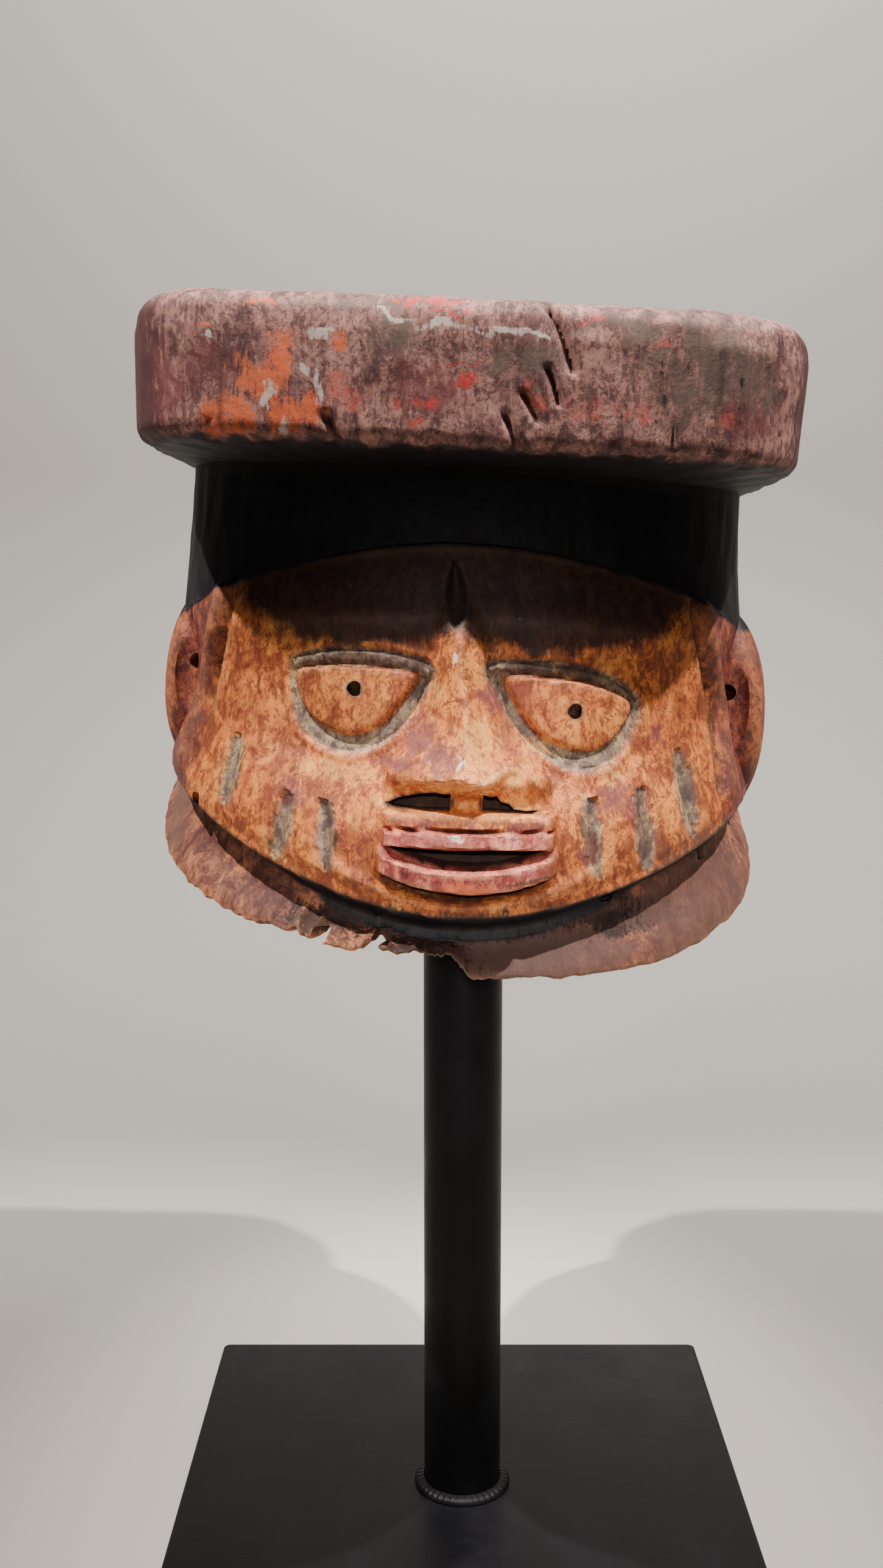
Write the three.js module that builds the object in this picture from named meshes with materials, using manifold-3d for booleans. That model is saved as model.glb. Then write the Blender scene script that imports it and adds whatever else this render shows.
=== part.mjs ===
// Carved wooden helmet mask with a flat slab on its head, held up by a steel post on a steel plate.
// Millimetres, +Z up. The mask faces -Y, and +X is to the viewer's right.
// The origin is the centre of the plate's underside.

import * as THREE from 'three';
import { mergeVertices } from 'three/addons/utils/BufferGeometryUtils.js';
import Module from 'manifold-3d';

// Stand
const plateSide = 220;
const plateThickness = 8;
const plateCornerRadius = 3;
const plateEdgeBevel = 0.8;
const postDiameter = 30;
const postDomeHeight = 2.5;
const weldWidth = 3.6;
const weldHeight = 2.6;
const contactGap = 0.3;

// How the mask sits on the post: the height of its own zero level, the front of its hairline,
// and the small lean and turn that it has, in degrees.
const maskLevel = 372;
const maskLean = 3;
const maskTurn = -1.7;

// Slab on the head. Every height of the mask is counted from its zero level.
const slabTop = 73;
const slabUnderside = 25.5;
const slabHalfWidth = 107.4;
const slabFront = 119;
const slabBack = 119;
const slabSquareness = 5.4;
const slabTaper = 1.2;
const undersideDish = 2;
const slabTopRound = 8;
const slabUndersideRound = 6;

// Neck band between the slab and the hairline
const neckHalfWidth = 97;
const neckFront = 87;
const neckBack = 104;
const neckSpread = 3;
const hairlineStep = 3.5;
const hairlineDrop = 27.5;
const hairlineTilt = 2.5;

// Head, from the hairline to the edge of the jaw
const browFront = 98;
const jawFront = 114;
const jawLevel = -109;
const jawRise = 34;
const napeRise = 36;
const headHalfWidth = 97;
const jawHalfWidth = 103.5;
const headBack = 121;
const headSquareness = 2.5;
const headSkew = 0.035;

// Collar under the jaw
const grooveDepth = 8.5;
const grooveHeight = 7;
const collarLevel = -130;
const collarRise = 0.31;
const collarRun = 118;
const collarFlare = 2.5;
const collarHoleSize = 5;
const collarHoleFloor = 2.5;

// Hollow
const wallThickness = 13;
const hollowTop = 4;
const hollowTaper = 0.86;

// Carving of the face
const noseHeight = 17;
const noseRootLevel = -26;
const noseTipLevel = -66;
const noseHalfWidth = 24;
const eyeHeight = 8;
const eyelidHeight = 2.6;
const pupilDiameter = 4.4;
const lipHeight = 8;
const mouthHalfWidth = 26;
const scarDepth = 1.8;
const scarHalfWidth = 2.6;
const earHeight = 68;
const earReach = 14;
const earDepth = 56;

const blockColumns = 60;
const hollowColumns = 30;
const frontCrowding = 0.69;
const faceRowCount = 30;

const wasm = await Module();
wasm.setup();

const { clamp, lerp, smoothstep, degToRad } = THREE.MathUtils;
const bell = (t) => Math.exp(-t * t);

// A closed mesh as a solid that can be joined and cut
function asSolid(geometry) {
  const plain = geometry.clone();
  plain.deleteAttribute('normal');
  plain.deleteAttribute('uv');
  const merged = mergeVertices(plain, 1e-3);
  const triangles = [];
  for (let i = 0; i < merged.index.count; i += 3) {
    const corner = [0, 1, 2].map((k) => merged.index.getX(i + k));
    if (new Set(corner).size === 3) triangles.push(...corner);
  }
  return new wasm.Manifold(new wasm.Mesh({
    numProp: 3,
    vertProperties: new Float32Array(merged.attributes.position.array),
    triVerts: new Uint32Array(triangles),
  }));
}

function asGeometry(solid) {
  const mesh = solid.getMesh();
  const geometry = new THREE.BufferGeometry();
  geometry.setAttribute('position', new THREE.BufferAttribute(new Float32Array(mesh.vertProperties), 3));
  geometry.setIndex(new THREE.BufferAttribute(new Uint32Array(mesh.triVerts), 1));
  geometry.computeVertexNormals();
  return geometry;
}

// Outlines seen from above. An angle of 0 is the front and a quarter turn is the viewer's right.
const outline = (halfWidth, front, back, squareness) => ({ halfWidth, front, back, squareness });

function outlineRadius(shape, angle) {
  const across = Math.abs(Math.sin(angle)) / shape.halfWidth;
  const reach = Math.cos(angle) > 0 ? shape.front : shape.back;
  const along = Math.abs(Math.cos(angle)) / reach;
  return (across ** shape.squareness + along ** shape.squareness) ** (-1 / shape.squareness);
}

const inset = (shape, amount) => outline(
  shape.halfWidth - amount, shape.front - amount, shape.back - amount, shape.squareness,
);

const between = (from, to, share) => outline(
  lerp(from.halfWidth, to.halfWidth, share),
  lerp(from.front, to.front, share),
  lerp(from.back, to.back, share),
  lerp(from.squareness, to.squareness, share),
);

const slabOutline = outline(slabHalfWidth, slabFront, slabBack, slabSquareness);
const neckOutline = outline(neckHalfWidth, neckFront, neckBack, headSquareness);
const hairOutline = outline(neckHalfWidth + neckSpread, neckFront + neckSpread, neckBack + neckSpread,
  headSquareness);
const browOutline = outline(headHalfWidth, browFront, headBack, headSquareness);
const jawOutline = outline(jawHalfWidth, jawFront, headBack, headSquareness);
const rimOutline = inset(jawOutline, -collarFlare);

// Levels that change round the head
const degreesFromFront = (angle) => Math.abs(THREE.MathUtils.radToDeg(Math.atan2(Math.sin(angle), Math.cos(angle))));
const hairlineAt = (angle) => 2.2 - hairlineDrop * Math.sin(angle) ** 2 + hairlineTilt * Math.sin(angle);
const jawCorner = 70;
const jawAt = (angle) => jawLevel + jawRise * smoothstep(degreesFromFront(angle), 0, jawCorner)
  + napeRise * smoothstep(degreesFromFront(angle), jawCorner - 15, 180);

// The collar has lost a strip of its edge, from the centre round to the viewer's left.
const lossEnd = 4;
const lossHeight = 6.5;
const lossFade = 60;
function rimAt(angle) {
  const reach = outlineRadius(rimOutline, angle);
  const x = reach * Math.sin(angle);
  const y = -reach * Math.cos(angle);
  const plain = collarLevel + collarRise * Math.min(y + rimOutline.front, collarRun);
  const lost = (1 - smoothstep(x, lossEnd - 4, lossEnd + 4)) * (1 - smoothstep(y, 0, lossFade));
  return plain + lossHeight * lost;
}

// Strength of the groove under the jaw: full in front, gone behind the ears
const grooveAt = (angle) => 1 - smoothstep(degreesFromFront(angle), 78, 104);

// The face's middle line wanders to the viewer's right as it goes down.
const middleAt = (z) => 0.11 * clamp(-z, 24, 120) - 2.6;

function noseLift(x, z) {
  const along = clamp((noseRootLevel - z) / (noseRootLevel - noseTipLevel), 0, 1);
  const start = smoothstep(-z, -noseRootLevel - 9, -noseRootLevel + 4);
  const height = noseHeight * start * lerp(0.22, 1, along ** 1.1);
  const end = 1 - smoothstep(-z, -noseTipLevel + 2, -noseTipLevel + 13);
  const halfWidth = lerp(0.36, 1, along ** 1.6) * noseHalfWidth;
  const t = Math.abs(x - middleAt(z)) / halfWidth;
  const ridge = clamp(1 - (Math.hypot(t, 0.2) - 0.2) / 0.82, 0, 1);
  const wing = Math.sqrt(clamp(1 - t * t, 0, 1));
  const fullness = 0.55 * smoothstep(-z, -noseTipLevel - 12, -noseTipLevel + 4);
  return height * end * lerp(ridge, wing, fullness);
}

const eyes = [
  { x: -28.5, z: -39, halfWidth: 22, rise: 5.5, drop: 22, tilt: 0, pupil: [-29.6, -43.4] },
  { x: 33, z: -40, halfWidth: 24.5, rise: 6, drop: 23, tilt: -5, pupil: [38.2, -46.7] },
];

function eyeLift(x, z) {
  let lift = 0;
  for (const eye of eyes) {
    const tilt = degToRad(eye.tilt);
    const across = (x - eye.x) * Math.cos(tilt) + (z - eye.z) * Math.sin(tilt);
    const up = (z - eye.z) * Math.cos(tilt) - (x - eye.x) * Math.sin(tilt);
    const reach = Math.hypot(across / eye.halfWidth, up / (up > 0 ? eye.rise : eye.drop));
    const ball = eyeHeight * Math.sqrt(clamp(1 - (reach / 0.92) ** 2, 0, 1));
    const lid = eyelidHeight * bell((reach - 1.08) / 0.14);
    lift += ball + lid;
  }
  return lift;
}

const mouth = { x: 7, z: -88, tilt: 3 };

function mouthLift(x, z) {
  const tilt = degToRad(mouth.tilt);
  const across = (x - mouth.x) * Math.cos(tilt) + (z - mouth.z) * Math.sin(tilt);
  const up = (z - mouth.z) * Math.cos(tilt) - (x - mouth.x) * Math.sin(tilt);
  const taper = clamp(1 - (across / (mouthHalfWidth + 3)) ** 2, 0, 1) ** 0.6;
  const upper = bell((up - 3.2) / 4.2);
  const lower = bell((up + 7) / 4);
  const muzzle = 7.5 * bell(across / 36) * bell((up - 3) / 17);
  const undercut = -3 * taper * bell((up + 14.5) / 2.6);
  return muzzle + undercut + lipHeight * taper * Math.max(upper, lower) * 0.9;
}

const cheekLift = (x, z) => 3 * (bell((x - 54) / 22) + bell((x + 50) / 22)) * bell((z + 76) / 17);

const faceLift = (x, z) => noseLift(x, z) + eyeLift(x, z) + mouthLift(x, z) + cheekLift(x, z);

// The rows of a turned form. Each has an outline, a level for every angle, how far the face's
// carving lifts it, and a step outwards. A row with no outline is the form's middle.
const makeRow = (shape, level, carved = 0, step = () => 0) => ({ shape, level, carved, step });
const flat = (level) => () => level;

function addSlab(rows) {
  const addRow = (...row) => rows.push(makeRow(...row));
  addRow(null, flat(slabTop));
  addRow(between(inset(slabOutline, slabHalfWidth - 1), slabOutline, 0.5), flat(slabTop));
  for (const turn of [0, 30, 60, 90].map(degToRad)) {
    const inward = slabTopRound * (1 - Math.sin(turn));
    addRow(inset(slabOutline, inward), flat(slabTop - slabTopRound * (1 - Math.cos(turn))));
  }
  for (const turn of [0, 45, 90].map(degToRad)) {
    const inward = slabTaper + slabUndersideRound * (1 - Math.cos(turn));
    addRow(inset(slabOutline, inward),
      flat(slabUnderside + undersideDish + slabUndersideRound * (1 - Math.sin(turn))));
  }
}

function addNeck(rows) {
  const addRow = (...row) => rows.push(makeRow(...row));
  addRow(neckOutline, flat(slabUnderside));
  addRow(between(neckOutline, hairOutline, 0.3), (angle) => lerp(slabUnderside, hairlineAt(angle), 0.5));
  addRow(hairOutline, (angle) => hairlineAt(angle) + 0.8);
}

const headShares = [0, 0.2, 0.38, 0.62, 0.84, 1];
const headFronts = [neckFront + neckSpread, browFront, browFront + 1, browFront + 6, jawFront - 4, jawFront];

function headOutline(share) {
  let k = 1;
  while (k < headShares.length - 1 && share > headShares[k]) k += 1;
  const local = (share - headShares[k - 1]) / (headShares[k] - headShares[k - 1]);
  const eased = smoothstep(clamp(local, 0, 1), -0.3, 1.3);
  const front = lerp(headFronts[k - 1], headFronts[k], clamp((eased - 0.09) / 0.82, 0, 1));
  const halfWidth = lerp(hairOutline.halfWidth, headHalfWidth, smoothstep(share, 0, 0.3))
    + (jawHalfWidth - headHalfWidth) * smoothstep(share, 0.45, 1);
  const back = lerp(hairOutline.back, headBack, smoothstep(share, 0, 0.6));
  return outline(halfWidth, front, back, headSquareness);
}

// The rows lie closer together below the brow, where the carving is.
const foreheadRows = 4;
const foreheadShare = 0.22;
const headShare = (k) => (k < foreheadRows
  ? foreheadShare * (k / foreheadRows)
  : lerp(foreheadShare, 1, (k - foreheadRows) / (faceRowCount - 1 - foreheadRows)));

function addHead(rows) {
  const addRow = (...row) => rows.push(makeRow(...row));
  const step = (angle) => hairlineStep * (1 - smoothstep(degreesFromFront(angle), 48, 66));
  for (let k = 0; k < faceRowCount; k += 1) {
    const share = headShare(k);
    const ease = 1 - smoothstep(share, 0, 0.5);
    addRow(headOutline(share), (angle) => lerp(hairlineAt(angle), jawAt(angle), share),
      smoothstep(1 - share, 0, 0.05), (angle) => ease * step(angle));
  }
}

function addCollar(rows) {
  const addRow = (...row) => rows.push(makeRow(...row));
  const under = (drop) => (angle) => jawAt(angle) - drop;
  const dent = (share) => (angle) => -grooveDepth * share * grooveAt(angle);
  addRow(jawOutline, under(grooveHeight * 0.4), 0, dent(0.12));
  addRow(jawOutline, under(grooveHeight * 0.75), 0, dent(0.6));
  addRow(jawOutline, under(grooveHeight), 0, dent(1));
  addRow(jawOutline, under(grooveHeight + 3), 0, dent(0.85));
  const toRim = (share) => (angle) => lerp(jawAt(angle) - grooveHeight - 3, rimAt(angle), share);
  addRow(between(jawOutline, rimOutline, 0.6), toRim(0.55), 0, dent(0.35));
  addRow(rimOutline, toRim(1));
}

// The underside of the block as it was before it was hollowed
function addUnderside(rows) {
  rows.push(makeRow(inset(rimOutline, wallThickness + 3), rimAt));
  rows.push(makeRow(null, flat((rimAt(0) + rimAt(Math.PI)) / 2)));
}

const rimInside = inset(rimOutline, wallThickness);
const topInside = outline(rimInside.halfWidth * hollowTaper, rimInside.front * hollowTaper,
  rimInside.back * hollowTaper, headSquareness);
const hollowShoulder = 12;
const hollowOverrun = 12;

function hollowRows() {
  const wallTop = hollowTop - hollowShoulder;
  const rows = [makeRow(null, flat(hollowTop))];
  rows.push(makeRow(inset(topInside, 16), flat(hollowTop)));
  rows.push(makeRow(inset(topInside, 6), flat(hollowTop - 3)));
  rows.push(makeRow(topInside, flat(wallTop)));
  for (const share of [0.6, 0.2]) {
    rows.push(makeRow(between(rimInside, topInside, share), (angle) => lerp(rimAt(angle), wallTop, share)));
  }
  rows.push(makeRow(rimInside, (angle) => rimAt(angle) - hollowOverrun));
  rows.push(makeRow(null, flat((rimAt(0) + rimAt(Math.PI)) / 2 - hollowOverrun)));
  return rows;
}

function pointOf(row, angle) {
  const reach = row.shape ? outlineRadius(row.shape, angle) + row.step(angle) : 0;
  const level = row.level(angle);
  const x = reach * Math.sin(angle) + headSkew * clamp(-level, 0, 100);
  const lift = row.carved && Math.cos(angle) > 0 ? row.carved * faceLift(x, level) : 0;
  return new THREE.Vector3(x + lift * Math.sin(angle), -(reach + lift) * Math.cos(angle), level);
}

// A form turned on the upright axis from its rows, top first, then drawn out to their outlines.
// The columns crowd together at the front, where the face is.
function turnedForm(rows, columns, crowding) {
  const side = rows.map((row) => new THREE.Vector2(row.shape ? row.shape.halfWidth : 0, row.level(Math.PI / 2)));
  const blank = new THREE.LatheGeometry(side, columns);
  for (let column = 0; column <= columns; column += 1) {
    const turn = (2 * Math.PI * (column % columns)) / columns;
    const angle = crowding * Math.sin(turn) - turn;
    rows.forEach((row, k) => {
      blank.attributes.position.setXYZ(column * rows.length + k, ...pointOf(row, angle).toArray());
    });
  }
  return asSolid(blank);
}

function carvedBlock() {
  const rows = [];
  addSlab(rows);
  addNeck(rows);
  addHead(rows);
  addCollar(rows);
  addUnderside(rows);
  return turnedForm(rows, blockColumns, frontCrowding);
}

const hollow = () => turnedForm(hollowRows(), hollowColumns, 0);

// The place on the face that has the given x and z, with its angle
function facePoint(x, z) {
  let angle = Math.atan2(x, 100);
  let share = 0.5;
  let point;
  for (let pass = 0; pass < 12; pass += 1) {
    const step = (at) => hairlineStep * (1 - smoothstep(degreesFromFront(at), 48, 66));
    const row = {
      shape: headOutline(share),
      level: (at) => lerp(hairlineAt(at), jawAt(at), share),
      carved: 1,
      step: (at) => (1 - smoothstep(share, 0, 0.5)) * step(at),
    };
    point = pointOf(row, angle);
    angle += (x - point.x) / Math.max(30, -point.y);
    share = clamp((hairlineAt(angle) - z) / (hairlineAt(angle) - jawAt(angle)), 0, 1);
  }
  return { point, angle };
}

// A round or lens-shaped solid: a ball drawn out along three directions, then tipped about Y,
// turned about Z and put in its place
function lens(halfSizes, place, tip = 0, turn = 0, sides = 10, squareness = 2) {
  const ball = new THREE.SphereGeometry(1, sides, Math.round(sides * 0.7));
  ball.rotateX(Math.PI / 2);
  const position = ball.attributes.position;
  for (let i = 0; i < position.count; i += 1) {
    const axes = [position.getX(i), position.getY(i), position.getZ(i)];
    const reach = axes.reduce((sum, v) => sum + Math.abs(v) ** squareness, 0) ** (1 / squareness);
    position.setXYZ(i, ...axes.map((v) => v / reach));
  }
  ball.scale(...halfSizes);
  ball.rotateY(tip);
  ball.rotateZ(turn);
  ball.translate(...place);
  return asSolid(ball);
}

function cutFrom(block, cutters) {
  return cutters.reduce((rest, cutter) => rest.subtract(cutter), block);
}

// Long cuts down the cheeks and one on the forehead, each from its top to its bottom end (x, z)
const scars = [
  [[-67, -61], [-70, -83]],
  [[-47, -76], [-52, -97]],
  [[-36, -77], [-35, -99]],
  [[43, -72], [48, -97]],
  [[59, -69], [64, -96]],
  [[72, -58], [79, -86]],
  [[-1, -4], [1, -24]],
];

function scarCut([top, bottom]) {
  const { point, angle } = facePoint((top[0] + bottom[0]) / 2, (top[1] + bottom[1]) / 2);
  const half = Math.hypot(top[0] - bottom[0], top[1] - bottom[1]) / 2;
  const tip = -Math.atan2(bottom[0] - top[0], top[1] - bottom[1]);
  return lens([scarHalfWidth, scarDepth, half], point.toArray(), tip, angle, 6);
}

// The nose has lost its underside: two deep hollows with the bar of wood left between them.
const nostrilDepth = 13;
const nostrilHalfHeight = 6;
const septumWidth = 8;
function nostrilCuts() {
  const level = noseTipLevel - 6.5;
  const middle = middleAt(level);
  const halfWidth = (noseHalfWidth - septumWidth / 2) / 2;
  return [-1, 1].map((side) => {
    const x = middle + side * (septumWidth / 2 + halfWidth);
    const { point } = facePoint(x, level);
    return lens([halfWidth, nostrilDepth, nostrilHalfHeight], [x, point.y + 1, level], 0, side * 0.1, 10);
  });
}

const mouthGapHeight = 5.5;
const mouthGapDepth = 18;
function mouthCut() {
  const { point } = facePoint(mouth.x, mouth.z);
  const place = [mouth.x, point.y + mouthGapDepth * 0.25, mouth.z - 1.6];
  return lens([mouthHalfWidth - 1, mouthGapDepth, mouthGapHeight / 2], place, -degToRad(mouth.tilt), 0, 12);
}

function pupilCuts() {
  return eyes.map(({ pupil: [x, z] }) => {
    const drill = new THREE.CylinderGeometry(pupilDiameter / 2, pupilDiameter / 2, browFront, 10);
    drill.translate(x, -browFront, z);
    return asSolid(drill);
  });
}

// Square pegholes for a costume, spaced round the front half of the collar: angle and height.
// They stop short of the hollow.
const collarHoles = [[-76, -81], [-47, -84], [-20.5, -119], [-11, -118.5], [26, -103.5], [48.5, -93], [68.5, -83]];
function collarHoleCuts() {
  const length = wallThickness * 3;
  return collarHoles.map(([degrees, level]) => {
    const angle = degToRad(degrees);
    const punch = new THREE.BoxGeometry(collarHoleSize, length, collarHoleSize);
    const reach = outlineRadius(rimInside, angle) + collarHoleFloor + length / 2;
    punch.rotateZ(angle);
    punch.translate(reach * Math.sin(angle) + headSkew * -level, -reach * Math.cos(angle), level);
    return asSolid(punch);
  });
}

// An ear is a swelling of the block with a scooped shell and a hole through its front
const ears = [
  { side: -1, x: -84, z: -47, height: earHeight + 2 },
  { side: 1, x: 90.5, z: -50, height: earHeight + 8 },
];
const earY = -20;

function withEars(block) {
  let carved = block;
  for (const { side, x, z, height } of ears) {
    const half = height / 2;
    const ear = lens([earReach, earDepth / 2, half], [x, earY, z], side * -0.05, side * 0.4, 12, 2.2);
    const shell = lens([earReach * 0.5, earDepth * 0.32, half * 0.7],
      [x + side * earReach * 0.85, earY - earDepth * 0.22, z + half * 0.06], side * -0.05, side * 0.7, 10);
    const hole = lens([10, 4, 5], [x + side * 2, earY - earDepth * 0.36, z + 6], 0, side * 0.9, 6);
    carved = carved.add(ear).subtract(shell).subtract(hole);
  }
  return carved;
}

const maskMaterial = new THREE.MeshStandardMaterial({ color: 0x9a5f3c, roughness: 0.7, metalness: 0 });
const blackSteel = new THREE.MeshStandardMaterial({ color: 0x1c1d1f, roughness: 0.42, metalness: 0.2 });

function named(name, geometry, material) {
  const mesh = new THREE.Mesh(geometry, material);
  mesh.name = name;
  return mesh;
}

function maskGeometry() {
  const cuts = [hollow(), ...scars.map(scarCut), ...nostrilCuts(), mouthCut(), ...pupilCuts(), ...collarHoleCuts()];
  return asGeometry(cutFrom(withEars(carvedBlock()), cuts));
}

const maskGroup = new THREE.Group();
maskGroup.position.set(0, 0, maskLevel);
maskGroup.rotation.set(0, degToRad(maskLean), degToRad(maskTurn), 'ZYX');
maskGroup.add(named('mask', maskGeometry(), maskMaterial));

// The plate: a square of sheet steel with eased edges
function plateGeometry() {
  const half = plateSide / 2 - plateEdgeBevel;
  const corner = plateCornerRadius;
  const square = new THREE.Shape();
  square.moveTo(corner - half, -half);
  square.lineTo(half - corner, -half);
  square.absarc(half - corner, corner - half, corner, -Math.PI / 2, 0);
  square.lineTo(half, half - corner);
  square.absarc(half - corner, half - corner, corner, 0, Math.PI / 2);
  square.lineTo(corner - half, half);
  square.absarc(corner - half, half - corner, corner, Math.PI / 2, Math.PI);
  square.lineTo(-half, corner - half);
  square.absarc(corner - half, corner - half, corner, Math.PI, 1.5 * Math.PI);
  const plate = new THREE.ExtrudeGeometry(square, {
    depth: plateThickness - 2 * plateEdgeBevel,
    bevelThickness: plateEdgeBevel,
    bevelSize: plateEdgeBevel,
    bevelSegments: 1,
    curveSegments: 4,
  });
  plate.translate(0, 0, plateEdgeBevel);
  return plate;
}

// The post: from the plate up to the top of the hollow, where its low dome carries the mask
const postSides = 28;
const postRadius = postDiameter / 2;
const postFoot = plateThickness + contactGap;
const postTop = maskLevel + hollowTop - contactGap;

function postGeometry() {
  const profile = [new THREE.Vector2(0, postFoot), new THREE.Vector2(postRadius, postFoot)];
  for (const turn of [0, 30, 60, 90].map(degToRad)) {
    profile.push(new THREE.Vector2(postRadius * Math.cos(turn),
      postTop - postDomeHeight * (1 - Math.sin(turn))));
  }
  profile[profile.length - 1].x = 0;
  return new THREE.LatheGeometry(profile, postSides).rotateX(Math.PI / 2);
}

// The weld: a low bead in the corner between the post and the plate
function weldGeometry() {
  const inner = postRadius + contactGap;
  const base = plateThickness + contactGap;
  const corner = new THREE.Vector2(inner, base);
  const profile = [corner];
  for (const turn of [0, 30, 60, 90].map(degToRad)) {
    profile.push(new THREE.Vector2(inner + weldWidth * Math.cos(turn), base + weldHeight * Math.sin(turn)));
  }
  profile.push(corner.clone());
  return new THREE.LatheGeometry(profile, postSides).rotateX(Math.PI / 2);
}

const maskOnStand = new THREE.Group();
maskOnStand.add(
  maskGroup,
  named('post', postGeometry(), blackSteel),
  named('base_plate', plateGeometry(), blackSteel),
  named('weld_bead', weldGeometry(), blackSteel),
);

export default maskOnStand;
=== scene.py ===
"""A carved wooden helmet mask on its black steel stand, with a plain studio round it."""

import logging
import math
from dataclasses import dataclass, field
from enum import Enum
from typing import Optional, Sequence

import bmesh
import bpy
import numpy as np
from mathutils import Euler, Matrix, Vector, noise
from mathutils.bvhtree import BVHTree


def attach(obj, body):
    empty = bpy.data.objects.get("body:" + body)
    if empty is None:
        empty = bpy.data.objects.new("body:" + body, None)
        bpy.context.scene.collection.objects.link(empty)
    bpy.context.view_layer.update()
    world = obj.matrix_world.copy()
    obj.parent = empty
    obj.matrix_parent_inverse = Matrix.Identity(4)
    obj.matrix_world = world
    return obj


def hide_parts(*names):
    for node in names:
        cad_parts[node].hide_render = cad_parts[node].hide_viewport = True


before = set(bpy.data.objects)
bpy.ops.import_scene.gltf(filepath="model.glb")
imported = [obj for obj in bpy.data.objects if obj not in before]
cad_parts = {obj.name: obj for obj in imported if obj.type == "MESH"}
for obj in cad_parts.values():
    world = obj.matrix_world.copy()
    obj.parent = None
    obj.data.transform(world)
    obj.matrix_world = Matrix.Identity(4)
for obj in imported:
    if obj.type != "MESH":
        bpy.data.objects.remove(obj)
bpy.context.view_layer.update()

log = logging.getLogger("mask")
MM = 0.001
Array = np.ndarray
Point = tuple[float, float]
Colour = tuple[float, float, float]
FAR = 1e9

# The gap between pieces that touch, in millimetres
CONTACT_GAP = 0.3


# Small helpers for shapes

def smoothstep(value: Array, low: float, high: float) -> Array:
    """Eases from 0 at low to 1 at high."""
    share = np.clip((value - low) / (high - low), 0.0, 1.0)
    return share * share * (3.0 - 2.0 * share)


def lerp(start: Array, end: Array, share: Array) -> Array:
    """Goes from start to end as share goes from 0 to 1."""
    return start + (end - start) * share


def bell(value: Array) -> Array:
    """A soft hump, 1 in its middle."""
    return np.exp(-np.square(value))


def degrees_from_front(angle: Array) -> Array:
    """How far round from the face's middle an angle lies, in degrees."""
    return np.abs(np.degrees(np.arctan2(np.sin(angle), np.cos(angle))))


def soft_noise(points: Array, size: float, seed: float, octaves: int = 1) -> Array:
    """Smooth noise of about -1 to 1.

    Args:
        points: the places, n by 3.
        size: the width of one hump, in the places' unit.
        seed: picks another pattern.
        octaves: how many finer layers are added.

    Returns:
        One value for each place.
    """
    shift = Vector((seed * 17.3, seed * -9.1, seed * 5.7))
    places = (Vector(p) + shift for p in (points / size).tolist())
    values = (noise.fractal(p, 1.0, 2.0, octaves) for p in places)
    return np.fromiter(values, float, len(points))


def tool_marks(points: Array, size: float, seed: float) -> Array:
    """Dished marks like those of an adze: 1 in a mark's middle and 0 on the ridge between two."""
    shift = Vector((seed * 11.9, seed * 7.7, seed * -13.3))
    marks = np.empty(len(points))
    for k, p in enumerate((points / size).tolist()):
        near = noise.voronoi(Vector(p) + shift)[0]
        ridge = 0.5 * (near[0] + near[1])
        marks[k] = 1.0 - (near[0] / ridge) ** 2
    return marks


def closed_curve(corners: Sequence[Point], steps: int = 6) -> Array:
    """A smooth closed curve through the corners."""
    points = np.array(corners, float)
    before, after, later = (np.roll(points, shift, axis=0) for shift in (1, -1, -2))
    curve = [0.5 * (2 * points + (after - before) * share
                    + (2 * before - 5 * points + 4 * after - later) * share ** 2
                    + (3 * points - before - 3 * after + later) * share ** 3)
             for share in np.arange(steps) / steps]
    return np.stack(curve, axis=1).reshape(-1, 2)


def segment_distance(x: Array, z: Array, start: Point, end: Point) -> Array:
    """Distance to the straight line between two points."""
    dx, dz = end[0] - start[0], end[1] - start[1]
    along = np.clip(((x - start[0]) * dx + (z - start[1]) * dz) / (dx * dx + dz * dz + 1e-12), 0, 1)
    return np.hypot(x - start[0] - along * dx, z - start[1] - along * dz)


def outline_distance(x: Array, z: Array, curve: Sequence[Point]) -> Array:
    """Distance to a closed curve, negative inside it."""
    best = np.full(x.shape, FAR)
    inside = np.zeros(x.shape, bool)
    for (ax, az), (bx, bz) in zip(curve, np.roll(curve, -1, axis=0)):
        best = np.minimum(best, segment_distance(x, z, (ax, az), (bx, bz)))
        if az != bz:
            inside ^= ((az > z) != (bz > z)) & (x < ax + (bx - ax) * (z - az) / (bz - az))
    return np.where(inside, -best, best)


def line_distance(x: Array, z: Array, points: Sequence[Point]) -> Array:
    """Distance to an open line through the points."""
    return np.min([segment_distance(x, z, *ends) for ends in zip(points, points[1:])], axis=0)


@dataclass(frozen=True)
class Outline:
    """A rounded outline seen from above. An angle of 0 is the front, a quarter turn the right."""

    half_width: float
    front: float
    back: float
    squareness: float = 2.5

    def reach(self, angle: Array) -> Array:
        """Distance from the upright axis to the outline."""
        across = np.abs(np.sin(angle)) / self.half_width
        along = np.abs(np.cos(angle)) / np.where(np.cos(angle) > 0, self.front, self.back)
        return (across ** self.squareness + along ** self.squareness) ** (-1 / self.squareness)

    def inset(self, amount: float) -> "Outline":
        """The same outline, smaller all round."""
        return Outline(self.half_width - amount, self.front - amount, self.back - amount,
                       self.squareness)

    def scaled(self, share: float) -> "Outline":
        """The same outline at a share of its size."""
        return Outline(self.half_width * share, self.front * share, self.back * share, self.squareness)

    def toward(self, other: "Outline", share: float) -> "Outline":
        """An outline on the way to the other one."""
        return Outline(*(float(lerp(a, b, share)) for a, b in zip(
            (self.half_width, self.front, self.back, self.squareness),
            (other.half_width, other.front, other.back, other.squareness))))


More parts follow.
